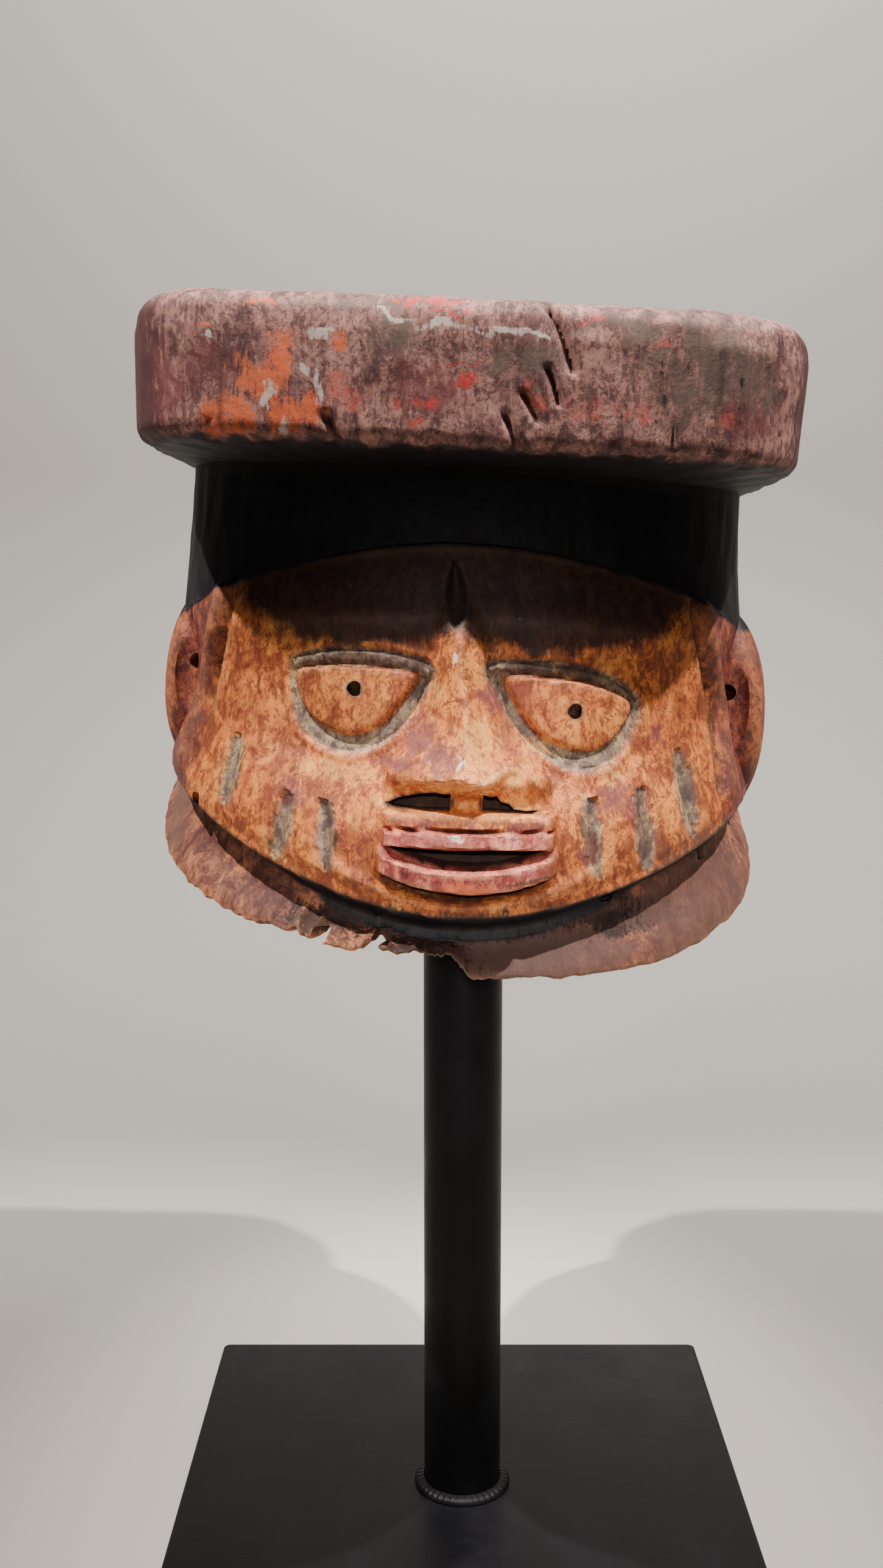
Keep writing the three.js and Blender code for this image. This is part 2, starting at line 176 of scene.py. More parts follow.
@dataclass(frozen=True)
class MaskSizes:
    """Sizes of the mask in millimetres. Heights count from its own zero level."""

    level: float = 372.0
    lean: float = 3.0
    turn: float = -1.7
    slab_top: float = 73.0
    slab_underside: float = 25.5
    slab_taper: float = 1.2
    slab_top_round: float = 8.0
    slab_underside_round: float = 6.0
    underside_dish: float = 2.0
    hairline_level: float = 2.2
    hairline_tilt: float = 2.5
    hairline_step: float = 3.5
    hairline_drop: float = 27.5
    brow_half_width: float = 97.0
    jaw_level: float = -109.0
    jaw_rise: float = 34.0
    jaw_corner: float = 70.0
    nape_rise: float = 36.0
    skew: float = 0.035
    groove_depth: float = 8.5
    groove_height: float = 7.0
    collar_level: float = -130.0
    collar_rise: float = 0.31
    collar_run: float = 118.0
    collar_mean_rise: float = 30.0
    wall: float = 13.0
    rim_round: float = 1.6
    hole_side: float = 5.0
    hole_floor: float = 2.5
    hollow_top: float = 4.0
    hollow_taper: float = 0.86
    hollow_shoulder: float = 12.0
    loss_end: float = 4.0
    loss_height: float = 6.5
    loss_fade: float = 60.0
    columns: int = 340
    crowding: float = 0.62


class Eye:
    """One eye: a ball under a thick lid, in a hollowed band with a fine groove round it."""

    def __init__(self, ball: Sequence[Point], rim: Sequence[Point], middle: Point,
                 half: Point, lid_line: Sequence[Point], pupil: Point) -> None:
        self.ball = closed_curve(ball)
        self.rim = closed_curve(rim)
        self.middle = middle
        self.half = half
        self.lid_line = lid_line
        self.pupil = pupil

    def above(self, x: Array, z: Array) -> Array:
        """1 over the line from corner to corner, 0 below it."""
        xs, zs = zip(*self.lid_line)
        return smoothstep(z - np.interp(x, xs, zs), -1.0, 0.6)

    def lift(self, x: Array, z: Array) -> Array:
        """How far the eye's carving stands out of the face."""
        ball = outline_distance(x, z, self.ball)
        rim = outline_distance(x, z, self.rim)
        above = self.above(x, z)
        dx = (x - self.middle[0]) / self.half[0]
        dz = (z - self.middle[1]) / self.half[1]
        dome = 4.4 * np.clip(1 - dx * dx - dz * dz, 0, 1) ** 0.8
        round_ball = smoothstep(-ball, -0.3, 1.0) * (0.7 + dome)
        lid = 1.5 * smoothstep(-rim, -0.3, 1.2) * smoothstep(ball, -0.5, 0.5) * above
        band = -0.6 * smoothstep(-rim, 0.2, 2.6) * smoothstep(ball, -0.2, 1.2) * (1 - above)
        groove = -0.8 * bell(rim / 0.75)
        ledge = 0.7 * bell((rim - 2.0) / 1.3)
        return round_ball + lid + band + groove + ledge


LEFT_EYE = Eye(
    ball=[(-48.4, -39.5), (-46.8, -47), (-43.5, -52), (-38, -55.8), (-31.5, -57.8), (-26, -57),
          (-20, -53.5), (-14.5, -46.5), (-9.8, -38.3), (-16, -37), (-24, -36.6), (-36, -36.8),
          (-43, -37.8)],
    rim=[(-50, -36.6), (-49.2, -45), (-47, -53), (-41.5, -59), (-33.5, -62.4), (-25.5, -61.6),
         (-17, -56), (-11, -47.5), (-6.4, -39.4), (-6.6, -35.6), (-12, -33.4), (-22, -31.8),
         (-34, -31.8), (-44, -33.6)],
    middle=(-29.2, -40.5), half=(20.5, 18.6),
    lid_line=[(-60, -40.5), (-49, -38.6), (-44, -37.0), (-34, -36.0), (-22, -36.2), (-8, -38.3),
              (0, -40.5)],
    pupil=(-29.6, -43.4),
)
RIGHT_EYE = Eye(
    ball=[(15.5, -37.8), (19.5, -46), (26, -53.6), (33.5, -57.6), (40.5, -59), (47.5, -57.4),
          (53.3, -51.2), (55.6, -44.2), (49, -40.2), (40, -37.8), (28, -36.8), (20, -36.4)],
    rim=[(10.4, -34.4), (12.6, -40.5), (19.5, -50.5), (27.5, -58.4), (36.5, -63.4), (43.5, -64),
         (50.5, -60.4), (55.8, -52.4), (58.6, -45.2), (56, -41.2), (49.5, -36.8), (40, -33.8),
         (27, -32.6), (17, -32.8)],
    middle=(36.0, -41.5), half=(21.5, 18.9),
    lid_line=[(0, -38), (12, -36.2), (20, -35.8), (28, -36.0), (40, -37.2), (49, -39.6),
              (57, -43.6), (68, -48)],
    pupil=(38.2, -46.7),
)
EYES = (LEFT_EYE, RIGHT_EYE)

# Long cuts down the cheeks and one on the forehead, each from its top to its bottom end
SCARS = (
    ((-67, -61), (-70, -83)),
    ((-47, -76), (-52, -97)),
    ((-36, -77), (-35, -99)),
    ((43, -72), (48, -97)),
    ((59, -69), (64, -96)),
    ((72, -58), (79, -86)),
    ((-1, -4), (1, -24)),
)

# The collar's square holes: the way they face, in degrees from the front, and their level
COLLAR_HOLES = (
    (-76, -81), (-47, -84), (-20.5, -119.5), (-11, -119), (26, -103.5), (48.5, -93), (68.5, -83),
)

# The broken place under the nose, and the two openings left in it
NOSE_BREAK = closed_curve([
    (-19.5, -77.5), (-17.5, -73), (-14, -70.4), (-8, -68.4), (-2, -67.8), (4, -66.6), (10, -68.2),
    (13.5, -65.6), (17, -63.6), (21, -64), (25.5, -67.4), (28.5, -71.4), (30.4, -76.6),
    (24, -79), (4, -79.4), (-12, -79.2)])
LEFT_NOSTRIL = [(-18.6, -76.9), (-14.5, -74.9), (-11, -74.0), (-7.5, -73.0), (-3, -72.3), (0.5, -72.6),
                (2.6, -72.2), (2.7, -78.3), (-6, -78.6), (-12.5, -78.4), (-16.6, -77.9)]
RIGHT_NOSTRIL = [(10.8, -71.9), (13.2, -72.6), (15.2, -72.2), (16.6, -74.3), (19.4, -75.0),
                 (21.2, -76.6), (25.2, -76.9), (29.3, -76.6), (27.4, -77.8), (20, -77.9), (10.8, -77.8)]
MOUTH_GAP = [(-18.0, -88.6), (-12, -88.6), (-5, -89.2), (2, -89.3), (7.5, -89.0), (12.5, -87.8),
             (19, -87.6), (26, -87.8), (31.8, -87.4), (29, -89.6), (24.5, -91.8), (18, -93.9),
             (10, -94.8), (1, -94.8), (-6, -93.6), (-11.5, -91.8), (-15.5, -90.2)]


def ear_outside(x: Array, z: Array) -> Array:
    """Distance outward from the grooves that part the cheeks from the ears."""
    left = -x + np.interp(z, [-72, -49, -22, -6], [-85, -79.5, -73.7, -71])
    right = x - np.interp(z, [-70, -43, -20, -4], [89, 84.5, 77, 74])
    return np.where(x < 0, left, right)


class FaceCarving:
    """The carving that stands out of the face, over x and z in millimetres."""

    mouth_x = 7.0
    mouth_z = -88.0
    mouth_slope = 0.035
    lip_bow = 0.0088
    lip_middle = 7.2
    lip_half = 27.0
    strip_foot = 5.2
    under_lip = -16.8

    def middle(self, z: Array) -> Array:
        """The face's middle line, which wanders to the right as it goes down."""
        return 0.09 * np.clip(-z, 24, 120) - 0.6

    def over_mouth(self, x: Array, z: Array) -> tuple[Array, Array]:
        """Heights over the mouth's straight line and over the lower lip's bow."""
        up = z - self.mouth_z - self.mouth_slope * (x - self.mouth_x)
        return up, up - self.lip_bow * np.square(x - self.mouth_x)

    def lip_taper(self, x: Array) -> Array:
        """1 in the middle of the lips, down to 0 at their ends."""
        return np.sqrt(np.clip(1 - ((x - self.lip_middle) / self.lip_half) ** 2, 0, 1))

    def nose(self, x: Array, z: Array) -> Array:
        """A narrow straight ridge that widens into the wings."""
        along = np.clip((-22 - z) / 45, 0, 1)
        start = smoothstep(-z, 12, 32)
        height = 17.0 * start * lerp(0.42, 1, along ** 1.1)
        end = 1 - smoothstep(-z, 68, 76)
        half = lerp(8.5, 24.3, along ** 1.7)
        t = np.abs(x - self.middle(z) - 0.8 * along) / half
        ridge = np.clip(1 - (np.hypot(t, 0.05) - 0.05) / 0.95, 0, 1) ** 1.12
        wing = np.sqrt(np.clip(1 - t * t, 0, 1))
        full = 0.4 * smoothstep(-z, 54, 68)
        shape = height * end * lerp(ridge, wing, full)
        broken = smoothstep(-outline_distance(x, z, NOSE_BREAK), 0.0, 3.6)
        return shape * (1 - 0.3 * broken)

    def lips(self, x: Array, z: Array) -> Array:
        """Two thick lips, the flat strip over them and the cut below them."""
        up, low = self.over_mouth(x, z)
        reach = np.abs(x - self.lip_middle)
        taper = self.lip_taper(x)
        square = 1 - smoothstep(reach, 22.0, 26.0)
        muzzle = 8.0 * bell(reach / 37) * bell((up - 4) / 18)
        strip = 4.8 * square * smoothstep(up, 4.9, 5.5) * (1 - smoothstep(up, 9.4, 10.8))
        upper = 6.0 * square * smoothstep(up, -1.6, 0.2) * (1 - smoothstep(up, 4.4, 5.5))
        crease = -0.6 * square * bell((up - self.strip_foot) / 0.4)
        shelf = smoothstep(low, -15.2, -13.4) * (1 - smoothstep(low, -8.0, -5.0))
        lower = (3.4 + 4.2 * taper) * smoothstep(taper, 0.05, 0.5) * shelf
        under = -6.5 * taper * bell((low - self.under_lip) / 1.9)
        chin = 4.2 * bell(reach / 30) * bell((low + 21.0) / 2.8)
        return muzzle + strip + upper + crease + lower + under + chin

    def cheeks(self, x: Array, z: Array) -> Array:
        """Low swellings of the cheeks and the socket's slope between brow and cheek."""
        swell = bell((x - 54) / 22) + bell((x + 50) / 22)
        brow = bell((x - 34) / 24) + bell((x + 30) / 24)
        return 3.0 * swell * bell((z + 76) / 17) + 1.6 * brow * bell((z + 24) / 8)

    def scars(self, x: Array, z: Array) -> Array:
        """Depth of the leaf-shaped cuts, from 0 to 1."""
        depth = np.zeros(x.shape)
        for (ax, az), (bx, bz) in SCARS:
            dx, dz = bx - ax, bz - az
            length = math.hypot(dx, dz)
            along = ((x - ax) * dx + (z - az) * dz) / length ** 2
            across = np.abs((x - ax) * dz - (z - az) * dx) / length
            width = 3.2 * np.sqrt(np.clip(1 - (2 * along - 1) ** 2, 1e-6, 1))
            leaf = np.where((along > 0) & (along < 1), np.clip(1 - (across / width) ** 2, 0, 1), 0)
            depth = np.maximum(depth, leaf)
        return depth

    def lift(self, x: Array, z: Array) -> Array:
        """All of the carving together."""
        total = self.nose(x, z) + self.lips(x, z) + self.cheeks(x, z)
        for eye in EYES:
            total = total + eye.lift(x, z)
        return total - 1.9 * self.scars(x, z)


class Zone(Enum):
    """Parts of the block's surface, from its top round to the inside."""

    TOP = 0
    SLAB = 1
    UNDERSIDE = 2
    NECK = 3
    HEAD = 4
    COLLAR = 5
    RIM = 6
    HOLLOW = 7


@dataclass
class Row:
    """One ring of the block. With no outline it is a point on the axis."""

    zone: Zone
    outline: Optional[Outline]
    level: Array
    carved: float = 0.0
    step: Array = field(default_factory=lambda: np.zeros(1))


class MaskForm:
    """The mask's block as rings drawn out to their outlines, before ears and holes."""

    # The head's front between hairline and jaw: shares of the way down, and distances from the axis
    front_shares = (0, 0.2, 0.38, 0.62, 0.84, 1)
    front_middles = (98, 99, 104, 110)

    # Rings round the groove under the jaw: shares of its height going down, and of the collar's inset
    groove_rings = ((0.16, 0.0), (0.3, 0.05), (0.42, 0.2), (0.55, 0.45), (0.7, 0.7), (0.85, 0.9),
                    (1.0, 1.0), (1.15, 0.99), (1.4, 0.86))

    # Chips in the front of the collar's edge: height lost, place across and half width
    chips = ((3.4, -48, 1.7), (2.6, -41.5, 1.2), (1.2, -56, 3), (1.4, 88, 3), (-1.6, -33, 4.5),
             (2.4, -24.5, 2.6))

    def __init__(self, sizes: MaskSizes) -> None:
        self.sizes = sizes
        self.face = FaceCarving()
        turn = 2 * np.pi * np.arange(sizes.columns) / sizes.columns
        self.angle = turn - sizes.crowding * np.sin(turn)
        self.slab = Outline(half_width=107.4, front=119, back=119, squareness=5.4)
        self.neck = Outline(half_width=97, front=87, back=104)
        self.hair = Outline(half_width=100, front=90, back=107)
        self.jaw = Outline(half_width=103.5, front=114, back=121)
        self.rim = Outline(half_width=106, front=113.5, back=123.5)
        self.rim_inside = self.rim.inset(sizes.wall)
        self.top_inside = self.rim_inside.scaled(sizes.hollow_taper)
        self.wall_top = sizes.hollow_top - sizes.hollow_shoulder
        self.rows: list[Row] = []

    def hairline(self, angle: Array) -> Array:
        """Height of the hairline."""
        s = self.sizes
        return s.hairline_level - s.hairline_drop * np.sin(angle) ** 2 + s.hairline_tilt * np.sin(angle)

    def jaw_line(self, angle: Array) -> Array:
        """Height of the jaw's edge."""
        s = self.sizes
        turn = degrees_from_front(angle)
        return (s.jaw_level + s.jaw_rise * smoothstep(turn, 0, s.jaw_corner)
                + s.nape_rise * smoothstep(turn, s.jaw_corner - 15, 180))

    def rim_line(self, angle: Array) -> Array:
        """Height of the collar's lower edge, with its worn and broken stretches."""
        s = self.sizes
        reach = self.rim.reach(angle)
        x = reach * np.sin(angle)
        y = -reach * np.cos(angle)
        plain = s.collar_level + s.collar_rise * np.minimum(y + self.rim.front, s.collar_run)
        front = y < 0
        lost = (1 - smoothstep(x, s.loss_end - 4, s.loss_end + 4)) * (1 - smoothstep(y, 0, s.loss_fade))
        chipped = sum(deep * bell((x - middle) / half) for deep, middle, half in self.chips)
        ragged, fine = (np.array([noise.noise(Vector((v * step, row, 0))) for v in x.tolist()])
                        for step, row in ((0.16, 3.1), (0.9, 7.7)))
        return (plain + s.loss_height * lost + np.where(front, chipped, 0)
                + 1.1 * ragged + (0.3 + 0.9 * np.where(front, lost, 0)) * fine)

    def groove(self, angle: Array) -> Array:
        """Strength of the groove under the jaw."""
        return 1 - smoothstep(degrees_from_front(angle), 78, 104)

    def head_outline(self, share: float) -> Outline:
        """Outline of the head at a share of the way from the hairline to the jaw."""
        brow = self.sizes.brow_half_width
        front = np.interp(share, self.front_shares, (self.hair.front, *self.front_middles, self.jaw.front))
        half = lerp(self.hair.half_width, brow, smoothstep(share, 0, 0.3))
        half += (self.jaw.half_width - brow) * smoothstep(share, 0.45, 1)
        back = lerp(self.hair.back, self.jaw.back, smoothstep(share, 0, 0.6))
        return Outline(float(half), float(front), float(back))

    def add(self, zone: Zone, outline: Optional[Outline], level: Array, carved: float = 0.0,
            step: Optional[Array] = None) -> None:
        """Adds a ring below the last one."""
        level = np.broadcast_to(np.asarray(level, float), self.angle.shape)
        self.rows.append(Row(zone, outline, level, carved, np.zeros(1) if step is None else step))

    def add_slab(self) -> None:
        """The slab: its top, its worn upper edge, its side and its rounded lower edge."""
        s = self.sizes
        core = self.slab.inset(104)
        edge = self.slab.inset(s.slab_top_round)
        self.add(Zone.TOP, None, s.slab_top)
        for share in np.linspace(0.06, 0.96, 13):
            self.add(Zone.TOP, core.toward(edge, float(share)), s.slab_top)
        for turn in np.linspace(0, np.pi / 2, 12):
            inward = s.slab_top_round * (1 - math.sin(turn))
            level = s.slab_top - s.slab_top_round * (1 - math.cos(turn))
            self.add(Zone.SLAB, self.slab.inset(inward), level)
        top = s.slab_top - s.slab_top_round
        low = s.slab_underside + s.underside_dish + s.slab_underside_round
        for share in np.linspace(0, 1, 35)[1:-1]:
            self.add(Zone.SLAB, self.slab.inset(s.slab_taper * share), lerp(top, low, share))
        for turn in np.linspace(0, np.pi / 2, 9):
            inward = s.slab_taper + s.slab_underside_round * (1 - math.cos(turn))
            self.add(Zone.SLAB, self.slab.inset(inward), low - s.slab_underside_round * math.sin(turn))

    def add_neck(self) -> None:
        """The slab's underside, the dark neck and the ledge over the hairline."""
        s = self.sizes
        edge = self.slab.inset(s.slab_taper + s.slab_underside_round)
        under = s.slab_underside
        for share in np.linspace(0, 1, 13)[1:]:
            level = lerp(under + s.underside_dish, under, share)
            self.add(Zone.UNDERSIDE, edge.toward(self.neck, float(share)), level)
        for share in np.linspace(0, 1, 15)[1:]:
            level = lerp(under, self.hairline(self.angle) + 0.8, share)
            self.add(Zone.NECK, self.neck.toward(self.hair, float(share) ** 1.5), level)

    def add_head(self) -> None:
        """The head from the hairline to the jaw, with close rings where the face is."""
        step = self.sizes.hairline_step * (1 - smoothstep(degrees_from_front(self.angle), 48, 66))
        shares = [*np.linspace(0, 0.22, 16)[:-1], *np.linspace(0.22, 1, 98)]
        for share in shares:
            ease = 1 - smoothstep(share, 0, 0.5)
            level = lerp(self.hairline(self.angle), self.jaw_line(self.angle), share)
            self.add(Zone.HEAD, self.head_outline(share), level,
                     float(smoothstep(1 - share, 0, 0.05)), ease * step)

    def add_collar(self) -> None:
        """The groove under the jaw, the collar and its worn lower edge."""
        s = self.sizes
        jaw = self.jaw_line(self.angle)
        dent = -s.groove_depth * self.groove(self.angle)
        for drop, share in self.groove_rings:
            self.add(Zone.COLLAR, self.jaw, jaw - s.groove_height * drop, 0, dent * share)
        last_drop, last_share = self.groove_rings[-1]
        start = jaw - s.groove_height * last_drop
        rim = self.rim_line(self.angle)
        for share in np.linspace(0, 1, 19)[1:]:
            hold = last_share * (1 - smoothstep(share, 0.1, 1.0))
            level = lerp(start, rim + s.rim_round, share)
            self.add(Zone.COLLAR, self.jaw.toward(self.rim, float(share)), level, 0, dent * hold)
        for turn in np.linspace(0, np.pi, 9)[1:-1]:
            inward = s.wall / 2 * (1 - math.cos(turn))
            self.add(Zone.RIM, self.rim.inset(inward), rim + s.rim_round * (1 - math.sin(turn)))

    def add_hollow(self) -> None:
        """The hollow: its wall, its shoulder and its flat top."""
        s = self.sizes
        rim = self.rim_line(self.angle) + s.rim_round
        inward = 16
        top = self.top_inside.inset(inward)
        core = self.top_inside.inset(85)
        for share in np.linspace(0, 1, 15):
            self.add(Zone.HOLLOW, self.rim_inside.toward(self.top_inside, float(share)),
                     lerp(rim, self.wall_top, share))
        for turn in np.linspace(0, np.pi / 2, 6)[1:]:
            self.add(Zone.HOLLOW, self.top_inside.inset(inward * (1 - math.cos(turn))),
                     self.wall_top + s.hollow_shoulder * math.sin(turn))
        for share in np.linspace(0, 1, 7)[1:-1]:
            self.add(Zone.HOLLOW, top.toward(core, float(share)), s.hollow_top)
        self.add(Zone.HOLLOW, None, s.hollow_top)

    def place(self, row: Row) -> Array:
        """The ring's points, columns by 3."""
        sine, cosine = np.sin(self.angle), np.cos(self.angle)
        reach = row.outline.reach(self.angle) + row.step if row.outline else np.zeros(len(sine))
        x = reach * sine + self.sizes.skew * np.clip(-row.level, 0, 100)
        lift = np.where(cosine > 0, row.carved * self.face.lift(x, row.level), 0) if row.carved else 0.0
        return np.stack([x + lift * sine, -(reach + lift) * cosine, row.level], axis=-1)

    def hollow_reach(self, angle: Array, z: Array) -> Array:
        """Distance from the axis to the hollow's wall at a height."""
        rim = self.sizes.collar_level + self.sizes.collar_mean_rise
        share = np.clip((z - rim) / (self.wall_top - rim), 0, 1)
        return lerp(self.rim_inside.reach(angle), self.top_inside.reach(angle), share)

    def build(self) -> tuple[Array, Array]:
        """Draws all rings out, then works the surface over with tools and wear.

        Returns:
            The points as rows by columns by 3, and the zone's number for each row.
        """
        self.add_slab()
        self.add_neck()
        self.add_head()
        self.add_collar()
        self.add_hollow()
        grid = np.stack([self.place(row) for row in self.rows])
        zones = np.array([row.zone.value for row in self.rows])
        return SurfaceWork(grid, zones).finish(), zones


class SurfaceWork:
    """Tool marks, cracks, nicks and wear on the block's surface."""

    # Gouged nicks, cracks and chips in the slab's front, as lines over x and z with width and depth
    nicks = (
        (((23, 70), (27.5, 60), (30.5, 52.5)), 1.1, 2.8),
        (((23, 52.5), (25, 48.5), (27, 43)), 0.8, 2.4),
        (((16.5, 45), (21, 38)), 0.9, 2.2),
        (((11.5, 39), (17.5, 27)), 0.9, 2.2),
        (((60, 66), (59.5, 45), (61, 24)), 0.6, 1.3),
        (((-40, 36), (-37, 30), (-34, 22)), 1.3, 3.0),
        (((-9, 31), (-8, 22)), 1.6, 1.2),
        (((47, 31), (48, 22)), 2.0, 1.3),
        (((-75, 34), (-73, 24)), 0.9, 1.2),
        (((92, 60), (93, 38)), 0.6, 0.6),
    )

    def __init__(self, grid: Array, zones: Array) -> None:
        self.grid = grid
        self.zones = zones

    def normals(self) -> Array:
        """Outward directions of the grid's points."""
        along = np.roll(self.grid, -1, axis=1) - np.roll(self.grid, 1, axis=1)
        down = np.gradient(self.grid, axis=0)
        normal = np.cross(down, along)
        length = np.linalg.norm(normal, axis=-1, keepdims=True)
        return normal / np.maximum(length, 1e-6)

    @staticmethod
    def slab(points: Array) -> Array:
        """Adze marks, a worn upper edge and a ragged lower edge."""
        x, y, z = points.T
        marks = tool_marks(points * [1, 1, 0.45], size=15, seed=2)
        broad = soft_noise(points, size=55, seed=3)
        worn = smoothstep(z, 60, 66) * (0.5 + 0.5 * soft_noise(points, size=17, seed=5, octaves=2))
        torn = soft_noise(points * [1, 1, 0.3], size=5, seed=8, octaves=3)
        low = (1 - smoothstep(z, 27, 35)) * (0.4 + 0.9 * torn)
        fibre = soft_noise(points * [1, 1, 0.08], size=1.6, seed=9)
        depth = -0.55 * marks + 0.8 * broad - 1.5 * worn - 1.3 * np.clip(low, 0, 1) + 0.1 * fibre
        front = smoothstep(-y, 96, 104)
        for line, width, deep in SurfaceWork.nicks:
            depth = depth - front * deep * bell(line_distance(x, z, line) / width)
        return depth

    @staticmethod
    def slab_top(points: Array) -> Array:
        """Broad shallow marks."""
        sunk = 0.5 + 0.5 * soft_noise(points, size=60, seed=13)
        return -0.7 * tool_marks(points, size=22, seed=12) - 0.4 * sunk

    @staticmethod
    def underside(points: Array) -> Array:
        """Short strokes that run out to the edge."""
        angle = np.arctan2(points[:, 0], -points[:, 1])
        reach = np.hypot(points[:, 0], points[:, 1])
        strokes = np.stack([angle * 95, reach * 0.35, points[:, 2] * 0], axis=-1)
        return -0.9 * tool_marks(strokes, size=11, seed=21)

    @staticmethod
    def neck(points: Array) -> Array:
        """Upright facets."""
        facets = tool_marks(points * [1, 1, 0.4], size=11, seed=31)
        return -0.6 * facets + 0.5 * soft_noise(points, size=40, seed=32)

    @staticmethod
    def head(points: Array) -> Array:
        """Fine cuts on the face and broad ones on the back of the head."""
        x, y, z = points.T
        behind = smoothstep(y, -50, 10)
        fine = tool_marks(points * [1, 1, 0.6], size=8, seed=41)
        broad = tool_marks(points * [1, 1, 0.55], size=17, seed=42)
        rough = soft_noise(points, size=4, seed=43, octaves=3)
        face = -0.3 * fine + 0.12 * rough
        for eye in EYES:
            face = face * (1 - 0.7 * (1 - smoothstep(outline_distance(x, z, eye.rim), 0, 2)))
        outside = ear_outside(x, z)
        tall = smoothstep(z, -80, -70) * (1 - smoothstep(z, -16, -8)) * (1 - behind)
        crease = 1.9 * bell((outside - 4.5) / 2.2) - 2.4 * bell(outside / 1.3) - bell((outside - 12) / 4)
        marks = lerp(face, -0.9 * broad + 0.15 * rough, behind)
        return marks + 0.5 * soft_noise(points, size=30, seed=44) + crease * tall

    @staticmethod
    def collar(points: Array) -> Array:
        """Strokes along the grain."""
        strokes = tool_marks(points * [1, 1, 0.5], size=12, seed=51)
        return -0.5 * strokes + 0.25 * soft_noise(points * [1, 1, 0.25], size=3, seed=52, octaves=2)

    @staticmethod
    def hollow(points: Array) -> Array:
        """Deep gouge marks. They only ever take wood away."""
        gouges = tool_marks(points * [1, 1, 0.6], size=15, seed=61)
        return -1.1 * gouges - 0.2 * (1 + soft_noise(points, size=5, seed=62))

    def finish(self) -> Array:
        """The worked points. The points on the axis stay where they are."""
        work = {
            Zone.TOP: self.slab_top, Zone.SLAB: self.slab, Zone.UNDERSIDE: self.underside,
            Zone.NECK: self.neck, Zone.HEAD: self.head, Zone.COLLAR: self.collar,
            Zone.RIM: self.collar, Zone.HOLLOW: self.hollow,
        }
        depth = np.zeros(self.grid.shape[:2])
        for zone, depth_at in work.items():
            rows = self.zones == zone.value
            points = self.grid[rows].reshape(-1, 3)
            depth[rows] = depth_at(points).reshape(depth[rows].shape)
        depth[0] = depth[-1] = 0
        for _ in range(2):
            seam = 0.25 * (depth[:-2] + depth[2:]) + 0.5 * depth[1:-1]
            edge = self.zones[:-2] != self.zones[2:]
            depth[1:-1][edge] = seam[edge]
        normal = self.normals()
        normal[0] = normal[-1] = 0
        return self.grid + normal * depth[..., None]


class Shapes:
    """Simple closed meshes for ears and cutters, all in the mask's own millimetres."""

    @staticmethod
    def object_from(name: str, bm: bmesh.types.BMesh) -> bpy.types.Object:
        """Makes an object of the mesh, in the mask's own millimetres."""
        bmesh.ops.recalc_face_normals(bm, faces=bm.faces)
        mesh = bpy.data.meshes.new(name)
        bm.to_mesh(mesh)
        bm.free()
        shown = bpy.data.objects.new(name, mesh)
        bpy.context.scene.collection.objects.link(shown)
        return shown

    @staticmethod
    def add_ball(bm: bmesh.types.BMesh, half: Sequence[float], place: Sequence[float], tip: float,
                 turn: float, squareness: float, segments: int = 48) -> list:
        """Adds a ball drawn out to a lens, tipped about Y and turned about Z."""
        made = bmesh.ops.create_uvsphere(bm, u_segments=segments, v_segments=int(segments * 0.8), radius=1)
        rotation = Euler((0, tip, turn), "XYZ").to_matrix()
        for vert in made["verts"]:
            reach = sum(abs(c) ** squareness for c in vert.co) ** (1 / squareness)
            drawn = Vector(c / reach * h for c, h in zip(vert.co, half))
            vert.co = rotation @ drawn + Vector(place)
        return made["verts"]

    @staticmethod
    def add_prism(bm: bmesh.types.BMesh, outline: Sequence[Point], front: float, back: float,
                  narrowing: float = 1.0) -> None:
        """Adds an upright outline over x and z, drawn through from front to back along y."""
        middle = np.mean(outline, axis=0)
        near = [bm.verts.new((x, front, z)) for x, z in outline]
        far = [bm.verts.new((middle[0] + (x - middle[0]) * narrowing, back,
                             middle[1] + (z - middle[1]) * narrowing)) for x, z in outline]
        bm.faces.new(near)
        bm.faces.new(far[::-1])
        count = len(outline)
        for k in range(count):
            bm.faces.new((near[k], near[(k + 1) % count], far[(k + 1) % count], far[k]))


def pose_matrix(sizes: MaskSizes) -> Matrix:
    """Millimetres of the mask to metres on the stand."""
    turned = Euler((0, math.radians(sizes.lean), math.radians(sizes.turn)), "XYZ").to_matrix().to_4x4()
    turned.translation = Vector((0, 0, sizes.level))
    return Matrix.Scale(MM, 4) @ turned


